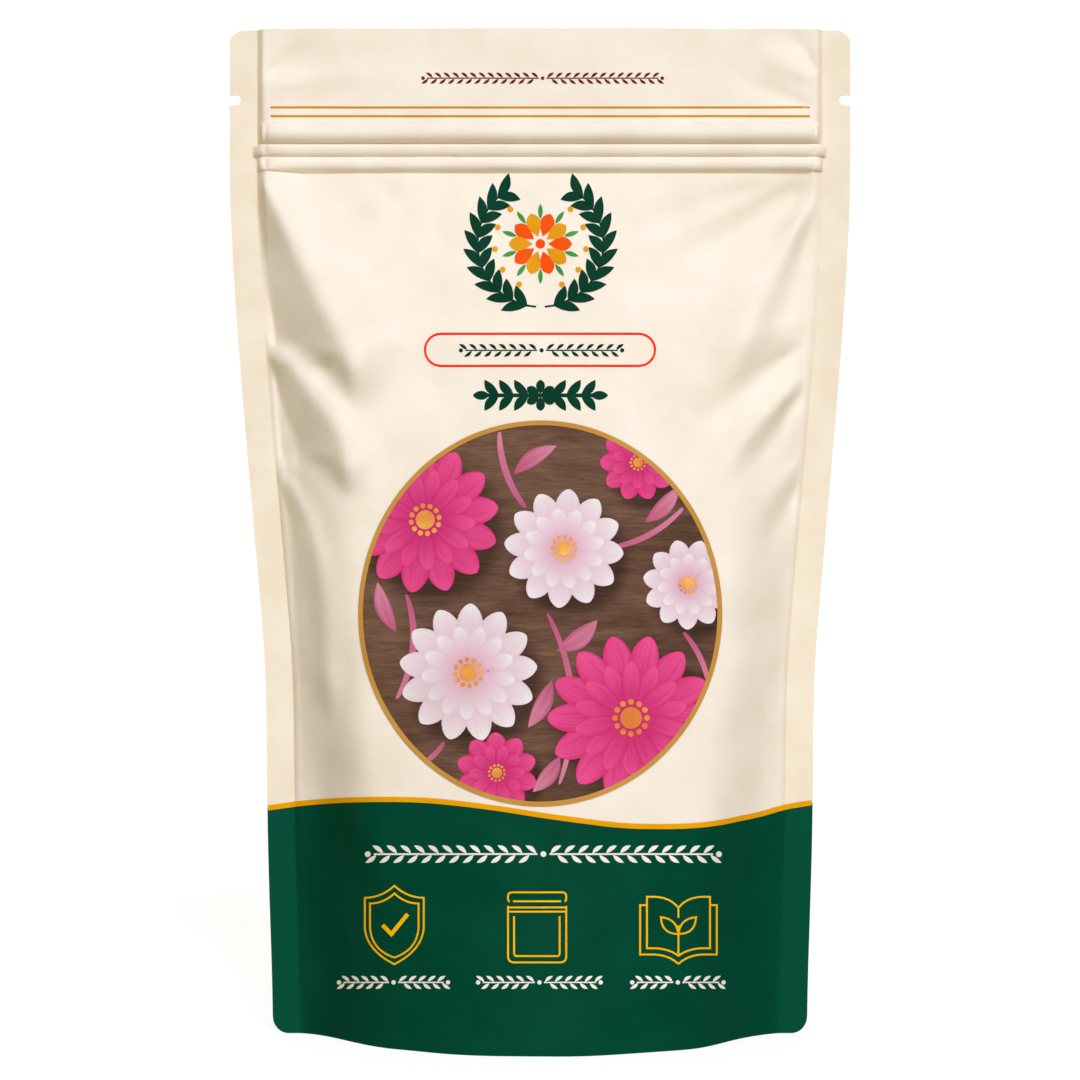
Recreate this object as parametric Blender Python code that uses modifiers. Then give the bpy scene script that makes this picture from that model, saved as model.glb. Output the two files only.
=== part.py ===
"""A filled stand-up seed pouch with a press-to-close strip, standing on its bottom gusset.

Metres, +Z up, the printed front faces -Y, and the origin is under the middle of the base.
Two film panels are sealed at their sides, and a third film is folded between them as the gusset.
A ridge strip and a groove strip close the mouth, and loose seeds fill the lower half.
"""

import math

import bmesh
import bpy
import numpy as np
from mathutils import Vector

MM = 0.001

# Flat sizes of the films
POUCH_WIDTH = 130 * MM
POUCH_HEIGHT = 210 * MM
SIDE_SEAL = 5.7 * MM
GUSSET_DEPTH = 40 * MM
FILM = 0.3 * MM
GAP = 0.3 * MM
PLY = FILM + GAP
EDGE_LIFT = 0.01 * MM
TOP_CORNER = 3.0 * MM
BOTTOM_CORNER = 3.5 * MM
HALF_WIDTH = POUCH_WIDTH / 2
FREE_HALF = HALF_WIDTH - SIDE_SEAL

# Tear notches in both side seals
NOTCH_HEIGHT = 195.4 * MM
NOTCH_RADIUS = 1.1 * MM
NOTCH_DEPTH = 2.3 * MM
NOTCH_SIDES = 16
CUTTER_LENGTH = 6 * MM
CUTTER_OVERSHOOT = 5 * MM

# How far the filled films stand out from the seals
BASE_BULGE = 26.5 * MM
BULGE_TOP = 181 * MM
BULGE_CURVE = 1.6
BULGE_SHARPNESS = 0.8
FLANK_FROM = 42 * MM
FLANK_BLEND = 60 * MM
BASE_CROWN = 1.0
BODY_CROWN = 0.5
BASE_TUCK = 0.40
BODY_TUCK = 0.26
SECTION_POINTS = 161
SECTION_HALVINGS = 30

# The closed strip and the slack mouth above it
MOUTH_HEIGHT = 190.3 * MM
STRIP_BOW = 1.2 * MM
STRIP_BOW_FROM = 156 * MM
STRIP_BOW_BLEND = 20 * MM
FRONT_MOUTH_BOW = 3.0 * MM
BACK_MOUTH_BOW = 0.6 * MM
MOUTH_POWER = 3
CRUSHED_END = 2.6 * MM

# Ridges that the strips press into the films: lower edge, upper edge and height of each
FILM_RIDGES = (
    (180.4 * MM, 183.4 * MM, 0.7 * MM),
    (183.4 * MM, 186.0 * MM, 0.6 * MM),
    (186.0 * MM, 190.3 * MM, 0.9 * MM),
)
RIDGE_STEPS = (-1.0, -0.75, -0.3, 0.3, 0.75, 1.0)

# Where the gusset is sealed to the panels, and the fold that rises into the side seals
SEAL_AT_MIDDLE = 5 * MM
SEAL_AT_SIDES = 38 * MM
SEAL_CURVE = 2.2
FOLD_RISE_FROM = 0.50
FOLD_RISE_OVER = 0.42
FLOOR_SHARE = 0.6
FLOOR_CURVE = 1.6
FOLD_STEPS = 8
NARROW_FOLD_FROM = 0.4 * MM
NARROW_FOLD = 2.0 * MM
FOLD_ROOM = 1.2 * MM
PLY_FADE = 14 * MM

# Press-to-close strips, seen end on: heights, and depths measured from the pouch's middle plane
STRIP_HALF_LENGTH = 56 * MM
STRIP_BOTTOM = 179.5 * MM
STRIP_TOP = 190 * MM
STRIP_BACK = 1.05 * MM
STRIP_FACE = 0.75 * MM
TRACK_HEIGHTS = (181.9 * MM, 184.7 * MM)
HOOK_TIP = 0.45 * MM
LIP_ROOT = 0.15 * MM
LIP_OPENING = 0.4 * MM
HOOK_INSIDE = 0.9 * MM
HOOK_OUTSIDE = 1.25 * MM
HEAD_HALF = 0.6 * MM
STEM_HALF = 0.15 * MM

# Edges of the films sharper than this are shaded as creases
CREASE_ANGLE = math.radians(35)

# The heap of seeds
SEED_TOP = 116 * MM
SEED_HEAP = 5 * MM
SEED_CLEARANCE = 1.2 * MM
SEED_LIFT = 1.5 * MM
SEED_SIDE_LIFT = 5 * MM
SEED_SPREAD = 0.76
SEED_LEAST_DEPTH = 0.5 * MM
SEED_CELLS = (14, 7, 12)

FRONT = -1
BACK = 1


def smooth(value):
    """Zero below 0, one above 1, and an even S between."""
    value = np.clip(value, 0.0, 1.0)
    return value * value * (3 - 2 * value)


def bulge_at(height):
    """How far the middle of a filled panel stands out at a height."""
    drop = np.clip((BULGE_TOP - height) / BULGE_TOP, 0.0, 1.0)
    return BASE_BULGE * (1 - (1 - drop) ** BULGE_CURVE) ** BULGE_SHARPNESS


def flat_section(height):
    """Arc length, x and depth along half a panel's level section, which is as long as the flat film."""
    blend = float(smooth((height - FLANK_FROM) / FLANK_BLEND))
    crown = BASE_CROWN + (BODY_CROWN - BASE_CROWN) * blend
    tuck = BASE_TUCK + (BODY_TUCK - BASE_TUCK) * blend
    share = np.linspace(0, 1, SECTION_POINTS)
    depth = bulge_at(height) * (1 - crown * share**2) * smooth((1 - share) / tuck)
    low, high = 0.5 * FREE_HALF, FREE_HALF
    for _ in range(SECTION_HALVINGS):
        half = (low + high) / 2
        steps = np.hypot(np.diff(share) * half, np.diff(depth))
        arc = np.concatenate([[0.0], np.cumsum(steps)])
        if arc[-1] > FREE_HALF:
            high = half
        else:
            low = half
    return arc, share * half, depth


SECTIONS = {}


def panel_point(across, height, side):
    """The middle of a panel's film, from its flat place across and its height."""
    key = round(float(height), 7)
    if key not in SECTIONS:
        SECTIONS[key] = flat_section(key)
    arc, half_widths, depths = SECTIONS[key]
    free = min(abs(across), FREE_HALF)
    x = np.interp(free, arc, half_widths) + max(abs(across) - FREE_HALF, 0.0)
    body = np.interp(free, arc, depths)

    end_taper = float(smooth((FREE_HALF - free) / CRUSHED_END))
    flare = float(smooth((height - MOUTH_HEIGHT) / (POUCH_HEIGHT - MOUTH_HEIGHT)))
    mouth_bow = FRONT_MOUTH_BOW if side == FRONT else BACK_MOUTH_BOW
    mouth = mouth_bow * (1 - (free / FREE_HALF) ** MOUTH_POWER)
    strip = STRIP_BOW * end_taper
    near_strip = float(smooth((height - STRIP_BOW_FROM) / STRIP_BOW_BLEND))
    raised = (1 - flare) * strip * near_strip + flare * mouth
    ridge = 0.0
    for low, high, rise in FILM_RIDGES:
        if low < height < high:
            place = (2 * height - low - high) / (high - low)
            ridge = rise * math.sqrt(1 - place * place) * end_taper

    gusset_top = max(gusset_seal(across), gusset_fold(across)) + FOLD_ROOM
    plies = float(smooth(1 + (gusset_top - height) / PLY_FADE))
    offset = PLY / 2 + PLY * plies
    y = side * (offset + math.hypot(body, raised) + ridge)
    return Vector((math.copysign(x, across), y, height))


def inward(across, height, side):
    """The panel's normal there, pointing into the pouch."""
    step = 0.2 * MM
    along = panel_point(across + step, height, side) - panel_point(across - step, height, side)
    up = panel_point(across, height + step, side) - panel_point(across, max(height - step, 0), side)
    normal = along.cross(up).normalized()
    return normal if normal.y * side < 0 else -normal


def rounded(across, height):
    """Pull a flat point that lies past a rounded corner of the film back onto the round."""
    for corner, radius in ((POUCH_HEIGHT, TOP_CORNER), (0.0, BOTTOM_CORNER)):
        beyond_side = abs(across) - (HALF_WIDTH - radius)
        beyond_end = radius - abs(corner - height)
        reach = math.hypot(beyond_side, beyond_end)
        if beyond_side > 0 and beyond_end > 0 and reach > radius:
            across -= math.copysign(beyond_side * (1 - radius / reach), across)
            toward_middle = 1 if corner == 0.0 else -1
            height += toward_middle * beyond_end * (1 - radius / reach)
    return across, height


def film_columns():
    """Flat places across the film, close together on the flanks and at the seals."""
    half = list(np.linspace(0, 0.62 * FREE_HALF, 5)) + list(np.linspace(0.70, 0.92, 5) * FREE_HALF)
    half += [FREE_HALF - CRUSHED_END, FREE_HALF - CRUSHED_END / 2, FREE_HALF]
    half += [HALF_WIDTH - TOP_CORNER, HALF_WIDTH - TOP_CORNER / 2, HALF_WIDTH]
    return [-place for place in reversed(half[1:])] + half


def panel_rows():
    """Heights of the panel's rows, close together at the corners and over the strips."""
    rows = [EDGE_LIFT, BOTTOM_CORNER / 2, BOTTOM_CORNER]
    rows += list(np.linspace(10 * MM, 58 * MM, 8))
    rows += list(np.linspace(68 * MM, 156 * MM, 9))
    rows += [163 * MM, 169 * MM, 174 * MM, 178 * MM]
    for low, high, _ in FILM_RIDGES:
        rows += [(low + high) / 2 + place * (high - low) / 2 for place in RIDGE_STEPS[:-1]]
    rows += [MOUTH_HEIGHT, 193 * MM, 197 * MM, 202 * MM]
    rows += [POUCH_HEIGHT - TOP_CORNER, POUCH_HEIGHT - TOP_CORNER / 2, POUCH_HEIGHT]
    return rows


def gusset_fold(across):
    """Height of the middle fold: on the floor in the middle, up inside the side seals."""
    share = min(abs(across) / FREE_HALF, 1.0)
    return GUSSET_DEPTH * float(smooth((share - FOLD_RISE_FROM) / FOLD_RISE_OVER))


def gusset_seal(across):
    """Height to which the gusset is sealed to the panels."""
    share = min(abs(across) / FREE_HALF, 1.0)
    return SEAL_AT_MIDDLE + (SEAL_AT_SIDES - SEAL_AT_MIDDLE) * share**SEAL_CURVE


def gusset_point(across, row, side):
    """A point of the gusset. Row 0 is its edge, 1 the top of its seal and 2 its middle fold."""
    seal = gusset_seal(across)
    if row <= 1:
        height = max(seal * row, EDGE_LIFT)
        across, height = rounded(across, height)
        return panel_point(across, height, side) + PLY * inward(across, height, side)
    start = gusset_point(across, 1, side)
    share = row - 1
    fold = max(gusset_fold(across), FILM / 2)
    drop = max(0.0, 1 - share / FLOOR_SHARE) ** FLOOR_CURVE
    wide = Vector((start.x, start.y * (1 - share), fold + (seal - fold) * drop))
    last_step = 1 - 1 / FOLD_STEPS
    tip = fold - PLY / 2
    narrow_height = fold if share == 1 else seal + (tip - seal) * share / last_step
    narrow = Vector((start.x, 0.0 if share == 1 else start.y, narrow_height))
    narrow_share = 1 - float(smooth((abs(start.y) - NARROW_FOLD_FROM) / NARROW_FOLD))
    return wide.lerp(narrow, narrow_share)


def gusset_rows():
    """Rows from the front edge over the middle fold to the back edge, as (side, row)."""
    sealed = [0.0, 0.05, 0.1, 0.4, 0.7, 1.0]
    free = [1 + step / FOLD_STEPS for step in range(1, FOLD_STEPS)]
    half = sealed + free
    front = [(FRONT, row) for row in half]
    back = [(BACK, row) for row in reversed(half)]
    return front + [(FRONT, 2.0)] + back


def make_material(name, colour, roughness):
    material = bpy.data.materials.new(name)
    material.use_nodes = True
    shader = material.node_tree.nodes["Principled BSDF"]
    shader.inputs["Base Color"].default_value = (*colour, 1.0)
    shader.inputs["Roughness"].default_value = roughness
    shader.inputs["Metallic"].default_value = 0.0
    material.diffuse_color = (*colour, 1.0)
    return material


def make_object(name, shape, collection, material=None):
    mesh = bpy.data.meshes.new(name)
    shape.to_mesh(mesh)
    shape.free()
    new_object = bpy.data.objects.new(name, mesh)
    collection.objects.link(new_object)
    if material:
        mesh.materials.append(material)
    return new_object


def formed_film(name, columns, rows, form, collection, material, even=True):
    """A flat grid bent to its place point by point, cut into triangles and given the film's thickness."""
    sheet = bmesh.new()
    bmesh.ops.create_grid(sheet, x_segments=len(columns) - 1, y_segments=len(rows) - 1, size=1)
    for vertex in sheet.verts:
        column = round((vertex.co.x + 1) / 2 * (len(columns) - 1))
        row = round((vertex.co.y + 1) / 2 * (len(rows) - 1))
        vertex.co = form(columns[column], rows[row])
    bmesh.ops.triangulate(sheet, faces=sheet.faces)
    film = make_object(name, sheet, collection, material)
    thickness = film.modifiers.new("film thickness", "SOLIDIFY")
    thickness.thickness = FILM
    thickness.offset = 0
    thickness.use_even_offset = even
    film.data.shade_smooth()
    film.data.set_sharp_from_angle(angle=CREASE_ANGLE)
    return film


def panel_form(side):
    def form(across, height):
        across, height = rounded(across, height)
        return panel_point(across, height, side)

    return form


def gusset_form(across, place):
    side, row = place
    return gusset_point(across, row, side)


def notch_cutter(side, collection):
    """An upright pin across the seal whose outer half is drawn out past the pouch's edge."""
    pin = bmesh.new()
    bmesh.ops.create_cone(
        pin,
        cap_ends=True,
        segments=NOTCH_SIDES,
        radius1=NOTCH_RADIUS,
        radius2=NOTCH_RADIUS,
        depth=CUTTER_LENGTH,
    )
    centre = HALF_WIDTH - NOTCH_DEPTH + NOTCH_RADIUS
    for vertex in pin.verts:
        across, along, up = vertex.co
        if across > -EDGE_LIFT:
            across += CUTTER_OVERSHOOT
        vertex.co = (side * (centre + across), -up, NOTCH_HEIGHT + side * along)
    cutter = make_object("notch_cutter", pin, collection)
    cutter.hide_render = True
    cutter.display_type = "WIRE"
    return cutter


def cut_notches(panel, cutters):
    for cutter in cutters:
        cut = panel.modifiers.new("tear notch", "BOOLEAN")
        cut.operation = "DIFFERENCE"
        cut.object = cutter


def groove_outline():
    """End view of the groove strip, as (depth from the middle plane, height)."""
    outline = [(-STRIP_BACK, STRIP_BOTTOM), (-STRIP_FACE, STRIP_BOTTOM)]
    for track in TRACK_HEIGHTS:
        half = [
            (-STRIP_FACE, HOOK_OUTSIDE),
            (HOOK_TIP, HOOK_OUTSIDE),
            (HOOK_TIP, LIP_OPENING),
            (LIP_ROOT, LIP_OPENING),
            (LIP_ROOT, HOOK_INSIDE),
            (-STRIP_FACE, HOOK_INSIDE),
        ]
        outline += [(depth, track - reach) for depth, reach in half]
        outline += [(depth, track + reach) for depth, reach in reversed(half)]
    return outline + [(-STRIP_FACE, STRIP_TOP), (-STRIP_BACK, STRIP_TOP)]


def ridge_outline():
    """End view of the ridge strip, whose headed ribs sit behind the groove strip's lips."""
    outline = [(STRIP_FACE, STRIP_BOTTOM), (STRIP_BACK, STRIP_BOTTOM)]
    outline += [(STRIP_BACK, STRIP_TOP), (STRIP_FACE, STRIP_TOP)]
    for track in reversed(TRACK_HEIGHTS):
        half = [
            (STRIP_FACE, STEM_HALF),
            (-LIP_ROOT, STEM_HALF),
            (-LIP_ROOT, HEAD_HALF),
            (-HOOK_TIP, HEAD_HALF),
        ]
        outline += [(depth, track + reach) for depth, reach in half]
        outline += [(depth, track - reach) for depth, reach in reversed(half)]
    return outline


def closing_strip(name, outline, collection, material):
    """A flat outline standing in the YZ plane and drawn out along the mouth."""
    curve = bpy.data.curves.new(name, "CURVE")
    curve.dimensions = "2D"
    curve.fill_mode = "BOTH"
    curve.extrude = STRIP_HALF_LENGTH
    spline = curve.splines.new("POLY")
    spline.points.add(len(outline) - 1)
    for point, (depth, height) in zip(spline.points, outline):
        point.co = (depth, height, 0.0, 1.0)
    spline.use_cyclic_u = True
    curve.materials.append(material)
    strip = bpy.data.objects.new(name, curve)
    strip.rotation_euler = (math.pi / 2, 0.0, math.pi / 2)
    collection.objects.link(strip)
    return strip


def seed_heap(collection, material):
    """A cube of cells drawn out to fill the pouch above the gusset, with a low crown on top."""
    heap = bmesh.new()
    across_cells, deep_cells, high_cells = SEED_CELLS
    bmesh.ops.create_cube(heap, size=2)
    for axis, cells in enumerate((across_cells, deep_cells, high_cells)):
        edges = [
            edge for edge in heap.edges
            if abs(edge.verts[0].co[axis] - edge.verts[1].co[axis]) > 1
        ]
        bmesh.ops.subdivide_edges(heap, edges=edges, cuts=cells - 1, use_grid_fill=True)
    for vertex in heap.verts:
        vertex.co = seed_point(*vertex.co)
    bmesh.ops.triangulate(heap, faces=heap.faces)
    seeds = make_object("seed_fill", heap, collection, material)
    seeds.data.shade_smooth()
    return seeds


def seed_point(across, deep, up):
    """The place in the pouch of a point of a cube that reaches from -1 to 1."""
    flat = across * SEED_SPREAD * FREE_HALF
    lift = (up + 1) / 2
    seal = gusset_seal(flat)
    fold = max(gusset_fold(flat), FILM / 2)
    drop = max(0.0, 1 - (1 - abs(deep)) / FLOOR_SHARE) ** FLOOR_CURVE
    low = fold + (seal - fold) * drop + SEED_LIFT + SEED_SIDE_LIFT * across * across
    high = SEED_TOP + SEED_HEAP * (1 - across * across) * (1 - deep * deep)
    height = low + (high - low) * lift
    film = panel_point(flat, height, FRONT)
    depth = max(-film.y - SEED_CLEARANCE, SEED_LEAST_DEPTH)
    return Vector((film.x, deep * depth, height))


def clear_scene():
    for old in list(bpy.data.objects):
        bpy.data.objects.remove(old)


def main():
    clear_scene()
    pouch = bpy.data.collections.new("seed pouch")
    cutting = bpy.data.collections.new("cutters")
    bpy.context.scene.collection.children.link(pouch)
    bpy.context.scene.collection.children.link(cutting)

    cream_film = make_material("cream printed film", (0.91, 0.81, 0.64), 0.42)
    inner_film = make_material("gusset film", (0.003, 0.055, 0.030), 0.42)
    clear_plastic = make_material("strip plastic", (0.86, 0.87, 0.86), 0.30)
    seed_coat = make_material("seeds", (0.16, 0.06, 0.035), 0.65)

    columns = film_columns()
    cutters = [notch_cutter(side, cutting) for side in (-1, 1)]
    for name, side in (("front_panel", FRONT), ("back_panel", BACK)):
        panel = formed_film(name, columns, panel_rows(), panel_form(side), pouch, cream_film)
        cut_notches(panel, cutters)
    formed_film(
        "bottom_gusset", columns, gusset_rows(), gusset_form, pouch, inner_film, even=False
    )
    closing_strip("zipper_groove_strip", groove_outline(), pouch, clear_plastic)
    closing_strip("zipper_ridge_strip", ridge_outline(), pouch, clear_plastic)
    seed_heap(pouch, seed_coat)


main()
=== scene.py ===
# %% [markdown]
# # Dressing a stand-up seed pouch
# The pouch is three printed plastic films, a press-to-close strip and a heap of seeds. The packed
# model gives their real sizes and places. This lesson lays a finer film over each coarse one, prints
# it with thin sheets of ink, and lights it as the photograph is lit.

# %% Load the fixed frame
import math

import bpy
import numpy as np
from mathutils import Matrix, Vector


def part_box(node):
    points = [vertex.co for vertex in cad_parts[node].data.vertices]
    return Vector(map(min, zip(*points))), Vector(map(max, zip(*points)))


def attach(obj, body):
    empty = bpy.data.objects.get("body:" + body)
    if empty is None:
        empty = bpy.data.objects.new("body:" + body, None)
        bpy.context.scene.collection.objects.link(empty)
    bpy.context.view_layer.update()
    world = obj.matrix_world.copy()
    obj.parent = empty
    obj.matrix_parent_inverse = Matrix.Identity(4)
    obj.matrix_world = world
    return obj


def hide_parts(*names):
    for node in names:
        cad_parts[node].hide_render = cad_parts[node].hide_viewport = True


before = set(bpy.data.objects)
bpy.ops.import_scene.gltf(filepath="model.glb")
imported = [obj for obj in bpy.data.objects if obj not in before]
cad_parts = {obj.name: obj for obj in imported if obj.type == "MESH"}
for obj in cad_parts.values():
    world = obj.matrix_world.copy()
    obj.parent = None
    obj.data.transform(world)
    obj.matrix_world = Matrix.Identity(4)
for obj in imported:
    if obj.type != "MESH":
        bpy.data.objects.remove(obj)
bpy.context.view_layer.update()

MM = 0.001
print("nodes:", sorted(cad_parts))

# %% [markdown]
# A film is cut flat, so every point of it has a flat place: how far across it lies from the middle,
# and how high. Writing the sizes of the flat cut first means that the films, the print on them and
# the cuts in them are all placed with the same two numbers.

# %% Flat sizes
panel_low, panel_high = (np.array(corner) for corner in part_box("front_panel"))
POUCH_WIDTH = round(float(panel_high[0] - panel_low[0]), 4)
POUCH_HEIGHT = round(float(panel_high[2]), 4)
HALF_WIDTH = POUCH_WIDTH / 2
SIDE_SEAL = 5.7 * MM
FREE_HALF = HALF_WIDTH - SIDE_SEAL
GUSSET_DEPTH = 40 * MM
FILM = 0.16 * MM
PLY = 0.18 * MM
TOP_CORNER = 3.0 * MM
BOTTOM_CORNER = 3.5 * MM
FRONT, BACK = -1, 1
print(f"cut {POUCH_WIDTH / MM:.0f} x {POUCH_HEIGHT / MM:.0f} mm, film {FILM / MM} mm")

# %% [markdown]
# Film bends but doesn't stretch. At each height the section across half a panel is a bulge whose
# length stays that of the flat film, so a deeper bulge pulls the side seals in. That is why the real
# pouch is narrower at its foot. The half width that gives the right length is found by halving. The
# flank is steepest right beside the seal and levels off inwards, like a quarter of a wave.

# %% Level sections of a filled panel
BASE_BULGE = 27.0 * MM
BULGE_TOP = 181 * MM
BULGE_CURVE, BULGE_SHARPNESS = 1.6, 0.82
FLANK_FROM, FLANK_BLEND = 20 * MM, 65 * MM
BASE_CROWN, BODY_CROWN = 0.85, 0.5
BASE_TUCK, BODY_TUCK = 0.42, 0.30
SECTION_POINTS = 161
SECTION_HALVINGS = 26
TABLE_ROWS, TABLE_COLUMNS = 841, 120


def smooth(value):
    """Zero below 0, one above 1, and an even S between."""
    value = np.clip(value, 0.0, 1.0)
    return value * value * (3 - 2 * value)


def section(height):
    """x and depth along half a panel, at even steps of the flat film."""
    drop = np.clip((BULGE_TOP - height) / BULGE_TOP, 0.0, 1.0)
    bulge = BASE_BULGE * (1 - (1 - drop) ** BULGE_CURVE) ** BULGE_SHARPNESS
    blend = smooth((height - FLANK_FROM) / FLANK_BLEND)
    crown = BASE_CROWN + (BODY_CROWN - BASE_CROWN) * blend
    tuck = BASE_TUCK + (BODY_TUCK - BASE_TUCK) * blend
    share = np.linspace(0, 1, SECTION_POINTS)
    flank = np.sin(math.pi / 2 * np.clip((1 - share) / tuck, 0, 1))
    depth = bulge * (1 - crown * share**2) * flank
    low, high = 0.5 * FREE_HALF, FREE_HALF
    for _ in range(SECTION_HALVINGS):
        half = (low + high) / 2
        arc = np.concatenate([[0.0], np.cumsum(np.hypot(np.diff(share) * half, np.diff(depth)))])
        low, high = (low, half) if arc[-1] > FREE_HALF else (half, high)
    even = np.linspace(0, FREE_HALF, TABLE_COLUMNS)
    return np.interp(even, arc, share * half), np.interp(even, arc, depth)


SECTION_X, SECTION_DEPTH = (
    np.array(part) for part in zip(*(section(z) for z in np.linspace(0, POUCH_HEIGHT, TABLE_ROWS)))
)
print(f"half width at the foot {SECTION_X[0, -1] / MM:.1f} mm, at the mouth {SECTION_X[-1, -1] / MM:.1f} mm")

# %% [markdown]
# Reading a point between the table's rows and columns takes the weighted mean of its four
# neighbours. Doing it on whole arrays at once lets a film of thousands of points form in a moment.


# %% Read a place from the table
def between(table, free, height):
    row = np.clip(height / POUCH_HEIGHT, 0, 1) * (TABLE_ROWS - 1)
    column = np.clip(free / FREE_HALF, 0, 1) * (TABLE_COLUMNS - 1)
    low_row = np.minimum(row.astype(int), TABLE_ROWS - 2)
    low_column = np.minimum(column.astype(int), TABLE_COLUMNS - 2)
    up, along = row - low_row, column - low_column
    under = table[low_row, low_column] * (1 - along) + table[low_row, low_column + 1] * along
    over = table[low_row + 1, low_column] * (1 - along) + table[low_row + 1, low_column + 1] * along
    return under * (1 - up) + over * up


# %% [markdown]
# The closing strip inside presses three rounded ridges into each film, with sharp creases between
# them, and its ends are crushed flat in the side seals. Above it the mouth is slack and bows.

# %% Strip ridges and the slack mouth
# Each ridge: low, high, how far it stands up, and how far it runs on into the side seals.
FILM_RIDGES = ((180.4, 183.4, 1.60, 0.1), (183.4, 186.0, 1.45, 0.9), (186.0, 190.3, 1.65, -0.6))
RIDGE_SKEW = 0.85
MOUTH_HEIGHT = 190.3 * MM
STRIP_BOW = 1.2 * MM
STRIP_BOW_FROM, STRIP_BOW_BLEND = 156 * MM, 20 * MM
MOUTH_BOW = {FRONT: 1.0 * MM, BACK: 0.6 * MM}
MOUTH_POWER = 3
CRUSHED_END = 2.6 * MM
RIDGE_END = 1.2 * MM
END_DENT, END_DENT_PLACE, END_DENT_SPREAD = 0.45, 2.1 * MM, 0.7 * MM


def strip_relief(free, height):
    """How far the ridges stand up from the film. Their undersides are the steeper ones."""
    relief = np.zeros_like(height)
    inside = FREE_HALF - free
    for low, high, rise, past in FILM_RIDGES:
        place = 2 * np.clip((height / MM - low) / (high - low), 0, 1) ** RIDGE_SKEW - 1
        round_top = np.sqrt(np.clip(1 - place * place, 0, 1))
        relief += rise * MM * round_top * smooth((inside + past * MM) / RIDGE_END)
    dent = END_DENT * np.exp(-(((inside - END_DENT_PLACE) / END_DENT_SPREAD) ** 2))
    return relief * (1 - dent)


def mouth_and_strip(free, height, side):
    flare = smooth((height - MOUTH_HEIGHT) / (POUCH_HEIGHT - MOUTH_HEIGHT))
    mouth = MOUTH_BOW[side] * (1 - np.clip(free / FREE_HALF, 0, 1) ** MOUTH_POWER)
    strip = STRIP_BOW * smooth((FREE_HALF - free) / CRUSHED_END)
    strip = strip * smooth((height - STRIP_BOW_FROM) / STRIP_BOW_BLEND)
    return (1 - flare) * strip + flare * mouth


# %% [markdown]
# Beside each side seal the free film stands up at once in a small rounded shoulder, because the two
# films part sharply where the weld ends. It is what draws the thin line of light and shade there.

# %% Shoulder beside the seals
SHOULDER_RISE, SHOULDER_WIDTH = 0.20 * MM, 0.9 * MM
SHOULDER_LOW, SHOULDER_LOW_BLEND = 2 * MM, 12 * MM
SHOULDER_ROOT = 0.35 * MM
MOUTH_SHOULDER, MOUTH_SHOULDER_FROM, MOUTH_SHOULDER_BLEND = 1.40 * MM, 184 * MM, 4 * MM
MOUTH_SHOULDER_WIDER = 0.8
LIP_RISE, LIP_PLACE, LIP_SPREAD = 0.14 * MM, 1.5 * MM, 0.9 * MM


def shoulder(free, height):
    inside = FREE_HALF - free
    mouth = smooth((height - MOUTH_SHOULDER_FROM) / MOUTH_SHOULDER_BLEND)
    width = SHOULDER_WIDTH * (1 + MOUTH_SHOULDER_WIDER * mouth)
    rise = (SHOULDER_RISE + MOUTH_SHOULDER * mouth) * smooth(inside / width)
    lip = LIP_RISE * np.exp(-(((inside - LIP_PLACE) / LIP_SPREAD) ** 2))
    low = smooth((height - SHOULDER_LOW) / SHOULDER_LOW_BLEND)
    return (rise + lip) * low * smooth(inside / SHOULDER_ROOT)


# %% [markdown]
# Pleats start at a pinch in the seal and run down and inwards, as the flat edge of the film has to
# find room for the bulge. Each follows a short chain of flat places. On one side of its crest the
# film falls in one flat face as far as the seal, which lies in shade, and on the other side it is
# only drawn up a little, and catches the light. The face ends along a slant, where the next pleat
# begins. Ripples are softer: a low ridge or valley that widens from its start and fades away.

# %% Pleats and ripples of the front, in millimetres as seen from straight in front
# Each pleat: places along its crest, width of its face, height of the crest, and how far the other
# side is drawn up, as a share of that width.
FRONT_PLEATS = (
    (
        ((-58.8, 181.0), (-55.3, 172.8), (-49.0, 158.9), (-44.5, 150.3), (-39.2, 141.9), (-38.2, 134.0)),
        14.5, 7.3, 0.85,
    ),
    (
        ((-57.0, 143.5), (-51.9, 139.5), (-47.4, 133.0), (-42.2, 126.6), (-39.6, 121.0), (-39.4, 115.0)),
        11.0, 4.4, 0.70,
    ),
    (
        ((-55.4, 117.6), (-51.9, 114.4), (-48.4, 107.8), (-46.2, 100.0), (-44.8, 88.0), (-43.6, 70.0)),
        8.0, 1.7, 0.55,
    ),
)
# Each ripple: start, end, height (a valley is negative), spread.
FRONT_RIPPLES = (
    ((50.5, 178.8), (21.6, 169.0), -1.00, 3.4),
    ((57.9, 178.6), (28.5, 159.0), -3.10, 5.6),
    ((58.5, 178.0), (39.5, 138.0), 2.80, 4.4),
    ((57.6, 174.0), (46.6, 145.0), -1.60, 4.4),
    ((56.4, 149.4), (38.0, 142.5), 0.60, 3.0),
    ((56.1, 145.0), (36.5, 130.0), -2.10, 3.8),
    ((55.8, 138.8), (38.5, 119.5), 2.10, 3.4),
    ((55.5, 135.5), (43.5, 119.0), -1.40, 3.2),
    ((54.9, 121.0), (46.5, 110.4), 0.85, 2.3),
    ((54.6, 116.5), (48.3, 103.5), -0.80, 2.3),
    ((-58.1, 199.9), (-50.0, 205.6), -0.85, 2.4),
    ((-58.1, 197.2), (-40.7, 200.8), 0.50, 2.3),
    ((-52.0, 193.6), (-38.0, 197.2), -0.30, 2.0),
    ((58.2, 200.5), (52.6, 208.8), -0.95, 2.0),
    ((58.2, 198.2), (47.0, 205.4), 0.85, 2.7),
    ((58.2, 193.0), (44.0, 198.4), -0.75, 2.4),
    ((-40.0, 178.5), (-24.0, 166.0), 0.35, 4.5),
    ((-37.0, 180.0), (-20.0, 164.5), -0.75, 4.0),
)


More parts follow.
